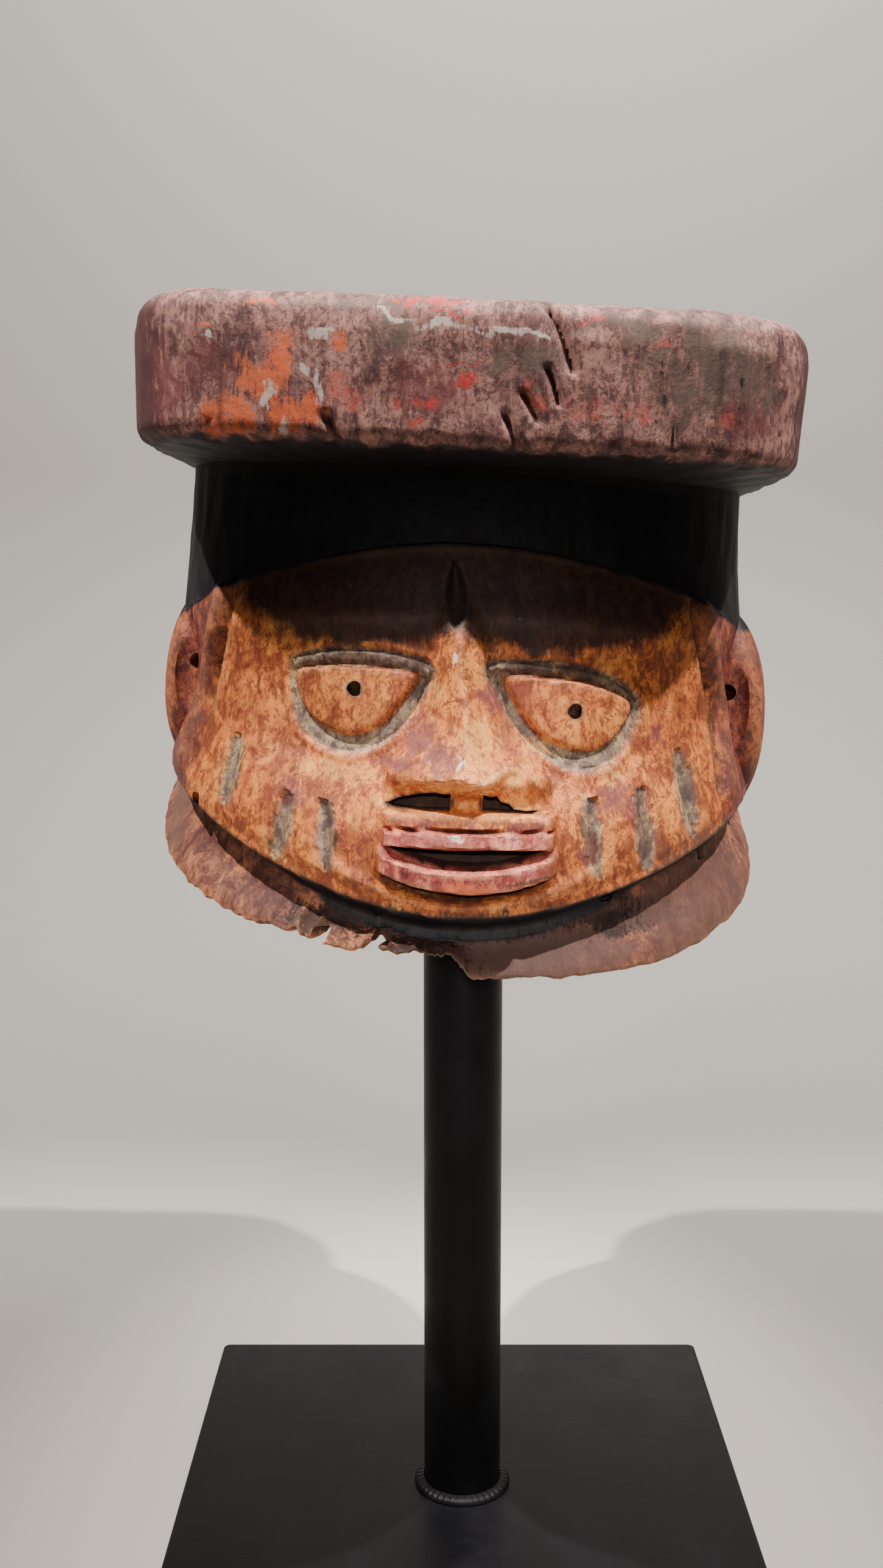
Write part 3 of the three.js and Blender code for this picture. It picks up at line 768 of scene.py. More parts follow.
class HelmetMask:
    """The carved mask: block, ears and holes as one closed piece."""

    # Each ear: the side that it is on, its middle over x and z, and its height
    ears = ((-1, -84.0, -47.0, 70.0), (1, 90.5, -50.0, 76.0))
    ear_y = -20.0
    ear_reach = 14.0
    ear_depth = 56.0

    # The scoops in the ears, over x and z with half their height, and the holes in the scoops
    scoops = ((-92.5, -43, 25), (96.5, -44, 26))
    ear_holes = ((-88.5, -41.0), (92.5, -42.0))

    # Where the cutters start in front of the face, and how deep they go
    cut_front = -170.0
    pupil_floor = -70.0
    nostril_floor = -104.5
    mouth_floor = -105.0

    def __init__(self, sizes: MaskSizes) -> None:
        self.sizes = sizes
        self.form = MaskForm(sizes)
        self.skin: Optional[BVHTree] = None

    def block(self) -> bpy.types.Object:
        """Spins a straight blank, then draws its rings out to the carved form."""
        grid, _ = self.form.build()
        rows, columns = grid.shape[:2]
        bm = bmesh.new()
        line = [bm.verts.new((0 if r in (0, rows - 1) else 1, 0, r)) for r in range(rows)]
        edges = [bm.edges.new(pair) for pair in zip(line, line[1:])]
        bmesh.ops.spin(bm, geom=line + edges, cent=(0, 0, 0), axis=(0, 0, 1), angle=2 * math.pi,
                       steps=columns, use_merge=True)
        poles = [v for v in bm.verts if math.hypot(v.co.x, v.co.y) < 0.5]
        bmesh.ops.remove_doubles(bm, verts=poles, dist=0.01)
        for vert in bm.verts:
            row = round(vert.co.z)
            turn = math.atan2(vert.co.y, vert.co.x) % (2 * math.pi)
            column = round(turn / (2 * math.pi) * columns) % columns
            vert.co = Vector(grid[row, column])
        log.info("block: %d rings of %d points", rows, columns)
        return Shapes.object_from("mask_block", bm)

    def ear_bodies(self) -> bpy.types.Object:
        """Both ears, pressed flat where they would reach into the hollow."""
        bm = bmesh.new()
        for side, x, z, height in self.ears:
            verts = Shapes.add_ball(bm, (self.ear_reach, self.ear_depth / 2, height / 2),
                                    (x, self.ear_y, z), side * -0.05, side * 0.4, 2.2, 56)
            for vert in verts:
                angle = math.atan2(vert.co.x, -vert.co.y)
                reach = math.hypot(vert.co.x, vert.co.y)
                wall = float(self.form.hollow_reach(np.array(angle), np.array(vert.co.z)))
                if reach < wall + 6:
                    pressed = wall + 2 + 4 * math.exp((reach - wall - 6) / 12)
                    vert.co.x *= pressed / reach
                    vert.co.y *= pressed / reach
        return Shapes.object_from("ears", bm)

    def surface_at(self, x: float, z: float) -> tuple[Vector, float]:
        """The place on the carving's front at x and z, and the angle that it faces."""
        place, normal, _, _ = self.skin.ray_cast(Vector((x, -220, z)), Vector((0, 1, 0)))
        return place, math.atan2(normal.x, -normal.y)

    def shells(self) -> bpy.types.Object:
        """The shallow scoops in the ears' fronts."""
        bm = bmesh.new()
        for x, z, tall in self.scoops:
            place, turn = self.surface_at(x, z)
            away = Vector((math.sin(turn), -math.cos(turn), 0)) * 2.2
            Shapes.add_ball(bm, (5.4, 4.2, tall), place + away, 0, turn, 2, 40)
        return Shapes.object_from("shells", bm)

    def holes(self) -> bpy.types.Object:
        """Cutters for the ear holes, the pupils, the nostrils, the mouth and the collar's holes."""
        bm = bmesh.new()
        for x, z in self.ear_holes:
            place, turn = self.surface_at(x, z)
            Shapes.add_ball(bm, (3.4, 10, 2.9), place, 0, turn * 0.35, 2, 24)
        for eye in EYES:
            x, z = eye.pupil
            around = [(x + 2.2 * math.sin(t) * (1 + 0.1 * math.sin(3 * t)), z + 2.4 * math.cos(t))
                      for t in np.linspace(0, 2 * math.pi, 21)[:-1]]
            Shapes.add_prism(bm, around, self.cut_front, self.pupil_floor)
        for nostril in (LEFT_NOSTRIL, RIGHT_NOSTRIL):
            Shapes.add_prism(bm, nostril, self.cut_front, self.nostril_floor, 0.9)
        Shapes.add_prism(bm, MOUTH_GAP, self.cut_front, self.mouth_floor, 0.96)
        for degrees, level in COLLAR_HOLES:
            self.add_collar_hole(bm, math.radians(degrees), level)
        return Shapes.object_from("holes", bm)

    def add_collar_hole(self, bm: bmesh.types.BMesh, angle: float, level: float) -> None:
        """A squarish hole that stops short of the hollow."""
        s = self.sizes
        length = s.wall * 3
        reach = float(self.form.rim_inside.reach(np.array([angle]))[0]) + s.hole_floor + length / 2
        made = bmesh.ops.create_cube(bm, size=1)
        bmesh.ops.scale(bm, vec=(s.hole_side, length, s.hole_side), verts=made["verts"])
        edges = list({e for v in made["verts"] for e in v.link_edges
                      if abs(e.verts[0].co.y - e.verts[1].co.y) > 1})
        bevelled = bmesh.ops.bevel(bm, geom=edges, offset=1.1, segments=3, profile=0.5, affect="EDGES",
                                   material=-1)
        left = {v for v in made["verts"] if v.is_valid}
        verts = list({v for f in bevelled["faces"] for v in f.verts} | left)
        bmesh.ops.rotate(bm, verts=verts, cent=(0, 0, 0), matrix=Euler((0, 0, angle)).to_matrix())
        place = (reach * math.sin(angle) - s.skew * level, -reach * math.cos(angle), level)
        bmesh.ops.translate(bm, verts=verts, vec=place)

    def combined(self) -> bpy.types.Object:
        """The block with its ears joined on and its scoops and holes cut, as one mesh."""
        mask = self.block()
        steps = ((self.ear_bodies, "UNION"), (self.shells, "DIFFERENCE"), (self.holes, "DIFFERENCE"))
        parts = []
        for make, operation in steps:
            other = make()
            cut = mask.modifiers.new(other.name, "BOOLEAN")
            cut.operation = operation
            cut.solver = "MANIFOLD"
            cut.object = other
            parts.append(other)
            self.skin = BVHTree.FromObject(mask, bpy.context.evaluated_depsgraph_get())
        shown = mask.evaluated_get(bpy.context.evaluated_depsgraph_get())
        mesh = bpy.data.meshes.new_from_object(shown)
        mask.modifiers.clear()
        blank = mask.data
        mask.data = mesh
        mask.name = mesh.name = "mask_carved"
        bpy.data.meshes.remove(blank)
        for other in parts:
            data = other.data
            bpy.data.objects.remove(other)
            bpy.data.meshes.remove(data)
        return mask

    def build(self, material: bpy.types.Material) -> bpy.types.Object:
        """Carves the mask and stores the masks that the material paints by."""
        mask = self.combined()
        mesh = mask.data
        mesh.materials.clear()
        mesh.materials.append(material)
        mesh.shade_smooth()
        mesh.set_sharp_from_angle(angle=math.radians(48))
        MaskZones(self.form, mesh).write(pose_matrix(self.sizes))
        mesh.transform(pose_matrix(self.sizes))
        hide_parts("mask")
        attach(mask, "root")
        log.info("mask: %d points, %d faces", len(mesh.vertices), len(mesh.polygons))
        return mask


class MaskZones:
    """Writes where each paint lies, where edges are worn, and where hollows and carved lines are darkened,
    partly with painted shade.
    """

    def __init__(self, form: MaskForm, mesh: bpy.types.Mesh) -> None:
        self.form = form
        self.mesh = mesh
        self.points = self.read(mesh.vertices, "co", float, 3)
        self.normals = self.read(mesh.vertices, "normal", float, 3)
        self.edges = self.read(mesh.edges, "vertices", int, 2)
        self.x, self.y, self.z = self.points.T
        self.wobble = soft_noise(self.points, size=5, seed=71, octaves=2)
        self.front = smoothstep(-self.y, 30, 50)
        self.angle = np.arctan2(self.x - form.sizes.skew * np.clip(-self.z, 0, 100), -self.y)
        self.jaw = form.jaw_line(self.angle)
        self.ball = self.nearest(eye.ball for eye in EYES)
        self.rim = self.nearest(eye.rim for eye in EYES)
        self.scar = form.face.scars(self.x, self.z)
        self.up, self.low = form.face.over_mouth(self.x, self.z)
        lip_reach = np.abs(self.x - form.face.lip_middle)
        self.lip_zone = 1 - smoothstep(lip_reach + 0.6 * self.wobble, 24.0, 27.0)

    @staticmethod
    def read(items, name: str, kind: type, width: int) -> Array:
        """One property of all the items, as rows of the width."""
        values = np.empty(len(items) * width, kind)
        items.foreach_get(name, values)
        return values.reshape(-1, width)

    def nearest(self, curves) -> Array:
        """Distance to the nearest of the closed curves."""
        return np.min([outline_distance(self.x, self.z, curve) for curve in curves], axis=0)

    def spread(self, values: Array, passes: int) -> Array:
        """Averages the values over neighbouring points."""
        first, second = self.edges.T
        count = np.bincount(self.edges.ravel(), minlength=len(values)).astype(float)
        for _ in range(passes):
            total = np.bincount(first, values[second], len(values))
            total += np.bincount(second, values[first], len(values))
            values = 0.5 * values + 0.5 * total / np.maximum(count, 1)
        return values

    def bulge(self) -> Array:
        """How far each point stands out of its neighbours, in millimetres."""
        smooth = np.stack([self.spread(self.points[:, k], 6) for k in range(3)], axis=-1)
        return self.spread(np.einsum("ij,ij->i", self.points - smooth, self.normals), 2)

    def cut_depth(self) -> Array:
        """1 inside the mouth, the nostrils and the pupils, 0 on the face."""
        cuts = []
        for outline, front in ((MOUTH_GAP, -117.5), (LEFT_NOSTRIL, -115), (RIGHT_NOSTRIL, -115)):
            near = 1 - smoothstep(outline_distance(self.x, self.z, outline), 0.1, 0.5)
            cuts.append(near * smoothstep(self.y, front, front + 3))
        for eye in EYES:
            away = np.hypot(self.x - eye.pupil[0], self.z - eye.pupil[1])
            cuts.append(1 - smoothstep(away, 2.5, 2.8))
        return np.maximum.reduce(cuts)

    def hollow(self) -> Array:
        """The wall of the hollow."""
        depth = np.hypot(self.x, self.y) - self.form.hollow_reach(self.angle, self.z)
        return (1 - smoothstep(depth, 0.8, 2.2)) * (self.z < self.form.sizes.hollow_top + 1)

    def dark(self) -> Array:
        """The dark-painted neck, and painted shade in the groove under the jaw."""
        hair = self.form.hairline(self.angle)
        neck = smoothstep(self.z - hair + 0.5 * self.wobble, -1.8, -0.8)
        side = smoothstep(np.abs(self.x - 8), 20, 70)
        # Painted shade along the groove under the jaw, taller under the chin
        away = np.abs(self.z - self.jaw + lerp(6.2, 3.4, side)) + 0.6 * self.wobble
        tall = lerp(5.0, 2.6, side)
        return np.maximum(neck, (1 - smoothstep(away, tall - 0.8, tall)) * self.front)

    def collar(self) -> Array:
        """The collar, and the back of the head."""
        below = 1 - smoothstep(self.z - self.jaw + 0.5 * self.wobble, -2.2, -1.2)
        return np.maximum(below, 0.85 * smoothstep(self.y + 6 * self.wobble, -5, 30))

    def green(self) -> Array:
        """The bands round the eyes and the floors of the long cuts."""
        bands = (1 - smoothstep(self.rim, 0.2, 1.6)) * smoothstep(self.ball, -0.4, 0.6)
        return np.maximum(bands, smoothstep(self.scar, 0.02, 0.3)) * self.front

    def lips(self) -> Array:
        """Both lips."""
        over = smoothstep(self.low + 0.5 * self.wobble, -15.0, -13.8)
        return self.lip_zone * self.front * over * (1 - smoothstep(self.up, 4.6, 5.6))

    def raw(self) -> Array:
        """Bare wood in the broken place under the nose."""
        away = outline_distance(self.x, self.z, NOSE_BREAK) + 0.4 * self.wobble
        return (1 - smoothstep(away, -0.6, 0.5)) * self.front * smoothstep(-self.y, 104, 108)

    def ear(self) -> Array:
        """The ears, up to the grooves that part them from the cheeks."""
        outside = smoothstep(ear_outside(self.x, self.z) + 1.2 * self.wobble, -0.5, 2.5)
        tall = smoothstep(self.z + self.wobble, -88, -82) * (1 - smoothstep(self.z, -12, -6))
        return outside * (1 - smoothstep(self.y, 2, 12)) * tall

    def lines(self, green: Array) -> Array:
        """Darkening in the carved lines of the eyes, the long cuts and the lips, with painted shadow under
        the lower lip and painted shade in the grooves by the ears.
        """
        face = self.form.face
        lines = [
            0.45 * bell(self.rim / 0.6),
            0.6 * bell((self.ball - 0.2) / 0.55),
            0.95 * bell((self.scar - 0.12) / 0.1),
            0.5 * smoothstep(self.scar, 0.3, 0.8),
            # Painted shadow in the cut under the lower lip
            1.3 * face.lip_taper(self.x) * bell((self.low - face.under_lip) / 1.5),
            0.4 * self.lip_zone * bell((self.up - face.strip_foot) / 0.4),
        ]
        for eye in EYES:
            lid = 1 - smoothstep(outline_distance(self.x, self.z, eye.rim), -0.2, 0.4)
            lines.append((0.7 + 0.3 * self.wobble) * lid * eye.above(self.x, self.z) * green)
        # Painted shade in the grooves between the cheeks and the ears
        by_ear = 0.8 * bell(ear_outside(self.x, self.z)) * (self.y < 0) * (self.z > -76)
        return np.maximum(np.maximum.reduce(lines) * self.front, by_ear)

    def masks(self) -> dict[str, Array]:
        """All zones by name, each from 0 to 1."""
        hollow, green, raw, bulge = self.hollow(), self.green(), self.raw(), self.bulge()
        outer = 1 - hollow
        # Darker in hollows and in the carved lines, some of it painted shade
        dirt_and_painted_shade = np.maximum((-bulge / 0.8 - 0.08) * (1 - 0.8 * green), self.lines(green))
        return {
            "slab": smoothstep(self.z + 1.5 * self.wobble, 29.0, 30.2) * outer,
            "dark": self.dark() * outer,
            "collar": self.collar() * outer,
            "green": green * outer,
            "lips": self.lips() * outer,
            "raw": raw,
            "ear": self.ear() * outer,
            "inside": np.maximum(hollow, self.cut_depth()),
            "wear": np.clip(bulge / 0.5 - 0.1, 0, 1),
            "dirt_and_painted_shade": np.clip(dirt_and_painted_shade, 0, 1) * (1 - raw),
        }

    def patches(self, pose: Matrix) -> dict[str, Array]:
        """How close each point is to the patches of every stain, from 0 to 1."""
        turn = np.array(pose) / MM
        places = self.points @ turn[:3, :3].T + turn[:3, 3]
        for size, amount in ((11, 3.0), (4, 1.8)):
            drift = [soft_noise(self.points, size, seed, octaves=2) for seed in (80, 81)]
            places = places + amount * np.stack([drift[0], 0 * drift[0], drift[1]], axis=-1)
        found = {}
        for stain in (*SLAB_STAINS, *FACE_STAINS):
            away = [np.linalg.norm((places - middle) / half, axis=1) for middle, half in stain.places]
            found[stain.name] = 1 - smoothstep(np.minimum.reduce(away), 0.2, 1.7)
        return found

    def write(self, pose: Matrix) -> None:
        """Stores the zones and the stains as point attributes."""
        for name, values in {**self.masks(), **self.patches(pose)}.items():
            stored = self.mesh.attributes.new(name, "FLOAT", "POINT")
            stored.data.foreach_set("value", np.ascontiguousarray(values, np.float32))


# Materials

class Graph:
    """A short way to lay out shader nodes in a tree."""

    def __init__(self, tree: bpy.types.NodeTree) -> None:
        self.tree = tree
        self.count = 0

    def node(self, kind: str, label: str = "", **settings) -> bpy.types.Node:
        """Adds a node of the kind with its settings."""
        made = self.tree.nodes.new(kind)
        made.label = label
        made.location = (220 * (self.count % 12), -260 * (self.count // 12))
        self.count += 1
        for key, value in settings.items():
            setattr(made, key, value)
        return made

    def link(self, source, target) -> None:
        """Joins an output to an input, or sets the input if the source is a plain value."""
        if isinstance(source, bpy.types.NodeSocket):
            self.tree.links.new(source, target)
        else:
            target.default_value = source

    def attribute(self, name: str):
        """The value of a point attribute."""
        return self.node("ShaderNodeAttribute", name, attribute_name=name).outputs["Fac"]

    def maths(self, operation: str, *values, clamp: bool = False):
        """One sum over values or sockets."""
        made = self.node("ShaderNodeMath", operation=operation, use_clamp=clamp)
        for socket, value in zip(made.inputs, values):
            self.link(value, socket)
        return made.outputs[0]

    def blend(self, *parts: tuple):
        """The sum of sockets, each multiplied by its own share."""
        first, second = (self.maths("MULTIPLY", socket, share) for socket, share in parts)
        return self.maths("ADD", first, second)

    def ramp(self, value, low: float, high: float, start: float = 0.0, end: float = 1.0):
        """Eases from start to end as value goes from low to high."""
        made = self.node("ShaderNodeMapRange", interpolation_type="SMOOTHSTEP")
        for name, amount in zip(("Value", "From Min", "From Max", "To Min", "To Max"),
                                (value, low, high, start, end)):
            self.link(amount, made.inputs[name])
        return made.outputs["Result"]

    def noise(self, vector, scale: float, detail: float = 3.0, roughness: float = 0.55,
              distortion: float = 0.0):
        """Noise from 0 to 1."""
        made = self.node("ShaderNodeTexNoise")
        self.link(vector, made.inputs["Vector"])
        for name, amount in (("Scale", scale), ("Detail", detail), ("Roughness", roughness),
                             ("Distortion", distortion)):
            made.inputs[name].default_value = amount
        return made.outputs["Fac"]

    def stretched(self, vector, scale: Sequence[float]):
        """The vector, scaled along each axis."""
        made = self.node("ShaderNodeVectorMath", operation="MULTIPLY")
        self.link(vector, made.inputs[0])
        made.inputs[1].default_value = scale
        return made.outputs[0]

    def mix(self, share, first, second, blend: str = "MIX"):
        """A colour between the first and the second."""
        made = self.node("ShaderNodeMix", data_type="RGBA", blend_type=blend)
        self.link(share, made.inputs[0])
        for socket, value in ((made.inputs[6], first), (made.inputs[7], second)):
            self.link(value if isinstance(value, bpy.types.NodeSocket) else (*value, 1.0), socket)
        return made.outputs[2]

    def bump(self, height, strength: float, distance: float):
        """The direction of a surface that the height raises."""
        made = self.node("ShaderNodeBump")
        for name, amount in (("Strength", strength), ("Distance", distance), ("Height", height)):
            self.link(amount, made.inputs[name])
        return made.outputs["Normal"]

    def shade(self, inputs: dict) -> None:
        """Joins or sets the inputs of the tree's own shader."""
        shader = self.tree.nodes["Principled BSDF"]
        for name, value in inputs.items():
            self.link(value, shader.inputs[name])


def new_material(name: str) -> tuple[bpy.types.Material, Graph]:
    """A material and the graph of its nodes."""
    material = bpy.data.materials.new(name)
    material.use_nodes = True
    return material, Graph(material.node_tree)


def srgb(red: int, green: int, blue: int) -> Colour:
    """A screen colour as the renderer's own values."""
    return tuple((c / 255 / 12.92) if c <= 10 else ((c / 255 + 0.055) / 1.055) ** 2.4
                 for c in (red, green, blue))


@dataclass(frozen=True)
class Coat:
    """A layer of paint or bare wood, and where it lies.

    Attributes:
        zone: the point attribute that holds its place, or an empty name for the whole surface.
        main: its usual colour.
        deep: the colour of its darker mottling.
        light: the colour of its lighter mottling.
        rough: its roughness.
        grain: how strongly the wood's grain shows.
        wear: how far it has gone from raised edges.
    """

    zone: str
    main: Colour
    deep: Colour
    light: Colour
    rough: float
    grain: float
    wear: float


COATS = (
    Coat("", srgb(206, 114, 56), srgb(104, 42, 32), srgb(240, 158, 80), 0.6, 0.3, 0.0),
    Coat("ear", srgb(138, 70, 56), srgb(68, 32, 38), srgb(190, 108, 72), 0.64, 0.3, 0.2),
    Coat("collar", srgb(138, 84, 66), srgb(72, 40, 40), srgb(194, 124, 86), 0.7, 0.6, 0.3),
    Coat("green", srgb(154, 128, 108), srgb(84, 66, 66), srgb(200, 178, 134), 0.58, 0.2, 0.1),
    Coat("lips", srgb(212, 112, 98), srgb(132, 48, 54), srgb(236, 166, 146), 0.5, 0.2, 0.2),
    Coat("raw", srgb(240, 156, 78), srgb(178, 92, 48), srgb(246, 190, 124), 0.78, 0.8, 0.0),
    # The dark coat is the neck's black paint, and painted shade in the groove under the jaw
    Coat("dark", srgb(20, 20, 27), srgb(9, 9, 13), srgb(34, 32, 38), 0.6, 0.3, 0.0),
    Coat("slab", srgb(158, 112, 103), srgb(68, 43, 49), srgb(190, 141, 131), 0.68, 0.6, 0.0),
    Coat("inside", srgb(96, 62, 42), srgb(50, 30, 22), srgb(130, 88, 58), 0.85, 0.9, 0.0),
)


@dataclass(frozen=True)
class Stain:
    """Patches of one paint in set places.

    Attributes:
        name: the point attribute that holds how close each point is to a patch.
        paint: the colour.
        seed: picks the pattern of the ragged edges.
        strength: how strongly it covers.
        density: how much of each patch it fills.
        places: the middle and the half sizes of each patch, in millimetres.
        ragged: how ragged the edges are.
    """

    name: str
    paint: Colour
    seed: float
    strength: float
    density: float
    places: Sequence[tuple]
    ragged: float = 1.0


def patches_at(y: float, *patches: tuple[float, float, float, float], deep: float = 40.0) -> list[tuple]:
    """Patches of a stain that lie at one distance from front to back.

    Args:
        y: their middle from front to back, in millimetres.
        patches: x, z, half width and half height of each.
        deep: half their depth from front to back.

    Returns:
        The middle and the half sizes of each patch.
    """
    return [((x, y, z), (half_width, deep, half_height)) for x, z, half_width, half_height in patches]


SLAB_FRONT = -118.0
FACE_FRONT = -122.0

# The slab's darker ends and scoops, its orange and red remnants and its pale scuffs
SLAB_STAINS = (
    # Both ends of the slab are darker
    Stain("slab_end_dark", srgb(78, 46, 50), 2.0, 0.9, 0.75, patches_at(
        0.0, (-113.0, 420.0, 22.0, 70.0), (114.0, 420.0, 16.0, 70.0), deep=250.0)),
    Stain("scoop_grey", srgb(104, 88, 80), 3.0, 0.80, 0.34, patches_at(
        SLAB_FRONT, (71.3, 422.5, 26.9, 19.7), (-22.3, 432.5, 11.8, 6.8), (15.4, 425.9, 19.7, 6.5),
        (-29.9, 441.1, 26.9, 2.9), (50.1, 434.4, 25.1, 2.5))),
    Stain("old_purple", srgb(116, 60, 62), 4.0, 0.70, 0.36, patches_at(
        SLAB_FRONT, (-89.2, 417.4, 6.5, 19.7), (-77.2, 425.9, 10.8, 10.8), (-12.6, 417.4, 14.3, 9.0),
        (80.4, 408.8, 10.8, 7.2))),
    Stain("old_orange", srgb(222, 106, 62), 1.0, 0.85, 0.36, patches_at(
        SLAB_FRONT, (-70.5, 409.7, 11.1, 8.3), (-61.5, 420.8, 8.3, 7.2), (-51.1, 411.9, 11.5, 7.2),
        (-55.3, 428.4, 5.4, 7.9), (-61.0, 442.1, 5.4, 1.6), (-37.7, 431.6, 3.2, 2.2),
        (-76.9, 437.7, 4.7, 1.4))),
    Stain("old_red", srgb(196, 58, 52), 5.0, 0.85, 0.34, patches_at(
        SLAB_FRONT, (-21.2, 412.4, 1.8, 1.6), (-12.6, 414.3, 4.3, 2.9), (-15.9, 408.8, 2.2, 1.6),
        (-0.2, 419.4, 4.7, 3.2), (-3.5, 425.5, 6.8, 0.9), (-11.3, 442.3, 16.1, 1.6),
        (35.7, 435.7, 5.0, 1.4), (-5.6, 439.1, 10.8, 0.9))),
    Stain("old_pink", srgb(198, 92, 78), 7.0, 0.60, 0.30, patches_at(
        SLAB_FRONT, (34.2, 411.5, 10.4, 5.0), (50.5, 410.5, 5.4, 4.7), (73.4, 408.8, 6.1, 3.9),
        (54.6, 429.9, 2.2, 1.4), (-37.1, 417.4, 7.2, 5.4), (17.2, 415.7, 7.2, 3.6))),
    Stain("scuffs", srgb(206, 190, 184), 9.0, 0.85, 0.4, patches_at(
        SLAB_FRONT, (-75.8, 433.8, 1.6, 2.2), (-58.6, 417.4, 1.6, 4.3), (-44.4, 418.7, 1.6, 7.5),
        (-47.0, 423.3, 1.3, 3.2), (-52.2, 408.5, 1.3, 4.3), (-21.2, 437.4, 7.9, 1.1),
        (-6.5, 434.9, 8.3, 1.8), (15.3, 433.8, 16.1, 0.9), (-43.9, 433.3, 5.4, 0.9))),
    Stain("cracks", srgb(26, 20, 22), 11.0, 0.90, 0.40, patches_at(
        SLAB_FRONT, (55.3, 419.4, 0.5, 16.5), (79.3, 417.4, 0.4, 12.6), (-93.0, 420.8, 0.4, 16.1))),
)

# Patches of the face and the lips: painted shade on the brow, under the chin and on the collar, painted
# highlights, and dark and light patches of paint
FACE_STAINS = (
    # Painted shade over the brow, where the slab's shadow falls
    Stain("brow_painted_shade", srgb(30, 19, 20), 25.0, 0.93, 0.8, patches_at(
        -100.0, (-33.0, 366.0, 44.0, 20.0), (33.0, 364.0, 46.0, 20.0), (0.0, 375.0, 60.0, 18.0)), 0.3),
    # Painted shade under the chin and jaw, and on the collar below them
    Stain("chin_painted_shade", srgb(30, 20, 20), 27.0, 0.9, 0.6, (
        *patches_at(-115.0, (5.0, 252.0, 33.0, 9.0), deep=30.0),
        *patches_at(-105.0, (46.0, 260.0, 26.0, 6.0), deep=30.0),
        *patches_at(-110.0, (-35.0, 260.0, 24.0, 5.0), deep=30.0))),
    # Painted shade of the jaw on the collar's right and middle, and a darker purple-grey patch by the left
    # ear
    Stain("collar_painted_shade", srgb(96, 68, 62), 23.0, 0.80, 0.50, (
        *patches_at(-80.0, (78.0, 260.0, 30.0, 26.0), deep=50.0),
        *patches_at(-50.0, (-100.0, 290.0, 8.0, 20.0), deep=50.0),
        *patches_at(-115.0, (25.0, 248.0, 36.0, 8.0), deep=30.0))),
    Stain("face_purple", srgb(112, 58, 62), 13.0, 0.8, 0.42, patches_at(
        FACE_FRONT, (-14.1, 317.2, 7.1, 8.5), (-8.7, 311.1, 6.0, 5.0), (6.6, 326.5, 3.9, 6.4),
        (46.6, 297.4, 7.8, 10.0), (37.4, 282.4, 4.6, 7.1), (60.0, 316.7, 4.6, 8.2),
        (-71.0, 330.1, 3.6, 7.8), (-55.2, 299.5, 6.4, 4.6), (-23.4, 308.2, 8.2, 3.2),
        (67.8, 310.4, 5.3, 10.7))),
    Stain("face_yellow", srgb(236, 172, 92), 15.0, 0.6, 0.34, patches_at(
        FACE_FRONT, (2.7, 315.4, 6.0, 6.4), (21.9, 311.1, 7.8, 4.6), (-44.9, 305.9, 10.3, 4.6),
        (44.7, 304.6, 7.5, 5.0), (-9.1, 328.3, 4.3, 7.1), (14.3, 295.9, 7.1, 3.2),
        (-61.0, 312.2, 5.3, 5.3))),
    Stain("lip_dark", srgb(92, 34, 42), 17.0, 0.85, 0.42, patches_at(
        FACE_FRONT, (17.5, 289.0, 7.1, 1.8), (-21.8, 274.7, 4.6, 1.6), (17.3, 274.7, 7.8, 1.4),
        (-12.7, 289.0, 3.6, 1.1))),
    Stain("lip_orange", srgb(232, 112, 66), 19.0, 0.80, 0.42, patches_at(
        FACE_FRONT, (-1.5, 272.9, 10.0, 2.5), (-23.5, 289.0, 4.6, 1.4))),
    # Painted highlights on the nose's ridge and on the upper lip
    Stain("painted_highlight", srgb(246, 226, 212), 21.0, 0.85, 0.36, patches_at(
        FACE_FRONT, (-2.7, 310.0, 1.1, 2.5), (-3.3, 286.8, 3.0, 1.4), (-4.1, 338.9, 0.7, 6.4))),
)


